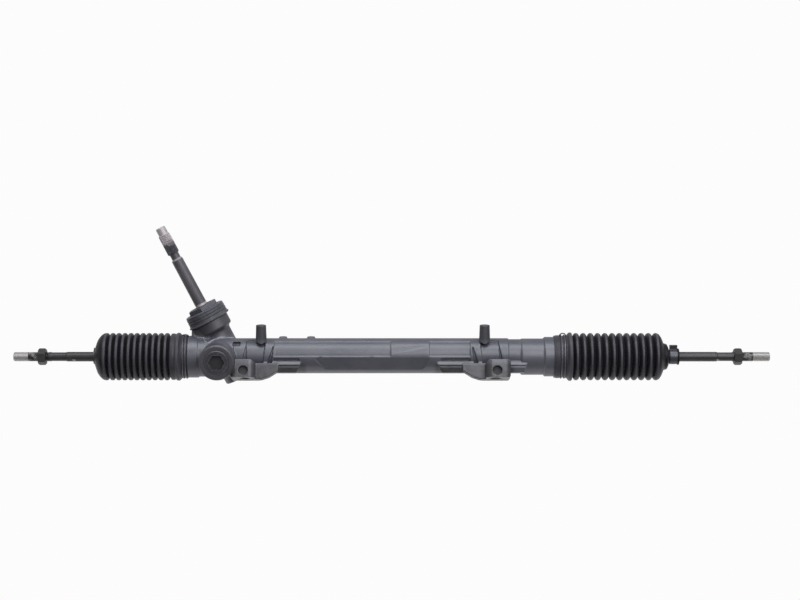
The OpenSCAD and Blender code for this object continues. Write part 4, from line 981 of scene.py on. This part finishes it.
# %% [markdown]
# The CAD nodes whose shape is right keep it and only get a finish. Most of them are inside the
# gear and show only when someone takes it apart, yet each gets the finish its real piece has. The
# nodes that were built again above get theirs too, so that the CAD model alone is dressed alike.

# %% Finishes for the CAD nodes
worn_by = {
    turned_paint: ["lower_pinion_cap", "pinion_lock_nut"],
    plug_paint: ["yoke_plug"],
    ground_steel: ["needle_bearing_shell", "upper_bearing_outer_ring", "upper_bearing_inner_ring",
                   "upper_bearing_balls", "lower_needle_rollers"],
    turned_steel: ["yoke_plunger", "yoke_spring", "bush_retaining_ring", "left_stop_ring",
                   "right_stop_ring", "pinion_circlip", "left_lock_washer", "right_lock_washer"],
    rack_steel: ["rack_bar"],
    socket_black: ["left_rod_socket", "right_rod_socket"],
    nut_black: ["left_jam_nut", "right_jam_nut"],
    pale_plastic: ["yoke_liner", "rack_bush", "upper_bearing_cage", "left_ball_seat",
                   "right_ball_seat"],
    seal_rubber: ["pinion_oil_seal", "yoke_o_ring"],
    shaft_finish: ["pinion_shaft"],
    plug_orange: ["shaft_end_plug"],
    cast_paint: ["rack_housing"],
    bellows_rubber: ["left_bellows", "right_bellows"],
    clamp_wire: ["left_bellows_large_clamp", "right_bellows_large_clamp"],
    clamp_band: ["left_bellows_small_clamp", "right_bellows_small_clamp"],
    boot_rubber: ["pinion_dust_boot"],
    left_rod_finish: ["left_tie_rod"],
    right_rod_finish: ["right_tie_rod"],
}
for finish, names in worn_by.items():
    for name in names:
        slots = nodes[name].data.materials
        slots.clear()
        slots.append(finish.material)
without = sorted(set(nodes) - {n for names in worn_by.values() for n in names})
print("nodes without a finish:", without)

# %% [markdown]
# The studio is lit by a large soft lamp in front and above, a weaker one overhead and faint light
# from all round. The table is pale right under the gear and dark before it, so the gear's lower
# half is dark but for its bottom edge. Camera rays see the table and the world as nearly white,
# so the picture has no horizon, while the gear is lit by what they really are.

# %% Floor
BACKDROP = (0.974, 0.974, 0.974, 1)


def white_to_camera(graph, shader):
    """The shader for light on the object, and the backdrop's white for rays from the camera, also
    through something clear."""
    def light_path(ray_kind):
        return graph.node("ShaderNodeLightPath", output=ray_kind)
    direct = light_path("Is Camera Ray") | light_path("Is Transmission Ray")
    white = graph.node("ShaderNodeEmission", None, {"Color": BACKDROP})
    return graph.node("ShaderNodeMixShader", None, {0: direct, 1: shader, 2: white})


floor_mesh = bpy.data.meshes.new("floor")
reach, drop = 14.0, -0.30
corners = [(x * reach, y * reach, drop) for x, y in ((-1, -1), (1, -1), (1, 1), (-1, 1))]
floor_mesh.from_pydata(corners, [], [(0, 1, 2, 3)])
floor = bpy.data.objects.new("floor", floor_mesh)
bpy.context.scene.collection.objects.link(floor)
floor_finish = Finish("studio_floor", roughness=0.9)
floor_finish.feed(base_color=floor_finish.mix(
    floor_finish.y.ramp(-200, -60), (0.16, 0.155, 0.15), (0.85, 0.84, 0.83)))
matte = Value(floor_finish, floor_finish.shader.outputs[0])
seen = white_to_camera(floor_finish, matte)
floor_finish.tree.links.new(seen.socket, floor_finish.tree.nodes["Material Output"].inputs[0])
floor_mesh.materials.append(floor_finish.material)
print("floor at", drop, "m")

# %% World and lamps
world = bpy.data.worlds.new("studio")
bpy.context.scene.world = world
world.use_nodes = True
studio = Nodes(world.node_tree)
back = studio.tree.nodes["Background"]
back.inputs["Color"].default_value = (0.97, 0.96, 1.0, 1)
back.inputs["Strength"].default_value = 0.52
seen = white_to_camera(studio, Value(studio, back.outputs[0]))
studio.tree.links.new(seen.socket, studio.tree.nodes["World Output"].inputs[0])


def soft_lamp(name, location, size, power, tint):
    """A rectangular lamp that points at the origin."""
    lamp = bpy.data.lights.new(name, "AREA")
    lamp.shape = "RECTANGLE"
    lamp.size, lamp.size_y = size
    lamp.energy = power
    lamp.color = tint
    made = bpy.data.objects.new(name, lamp)
    made.location = location
    made.rotation_euler = (-Vector(location)).to_track_quat("-Z", "Y").to_euler()
    bpy.context.scene.collection.objects.link(made)


soft_lamp("overhead", (0.0, -0.6, 1.9), size=(3.2, 1.1), power=43, tint=(0.90, 0.93, 1.0))
soft_lamp("front_key", (1.0, -2.2, 1.45), size=(2.6, 1.5), power=51, tint=(0.93, 0.94, 1.0))
bpy.context.scene.view_settings.view_transform = "Standard"

# %% [markdown]
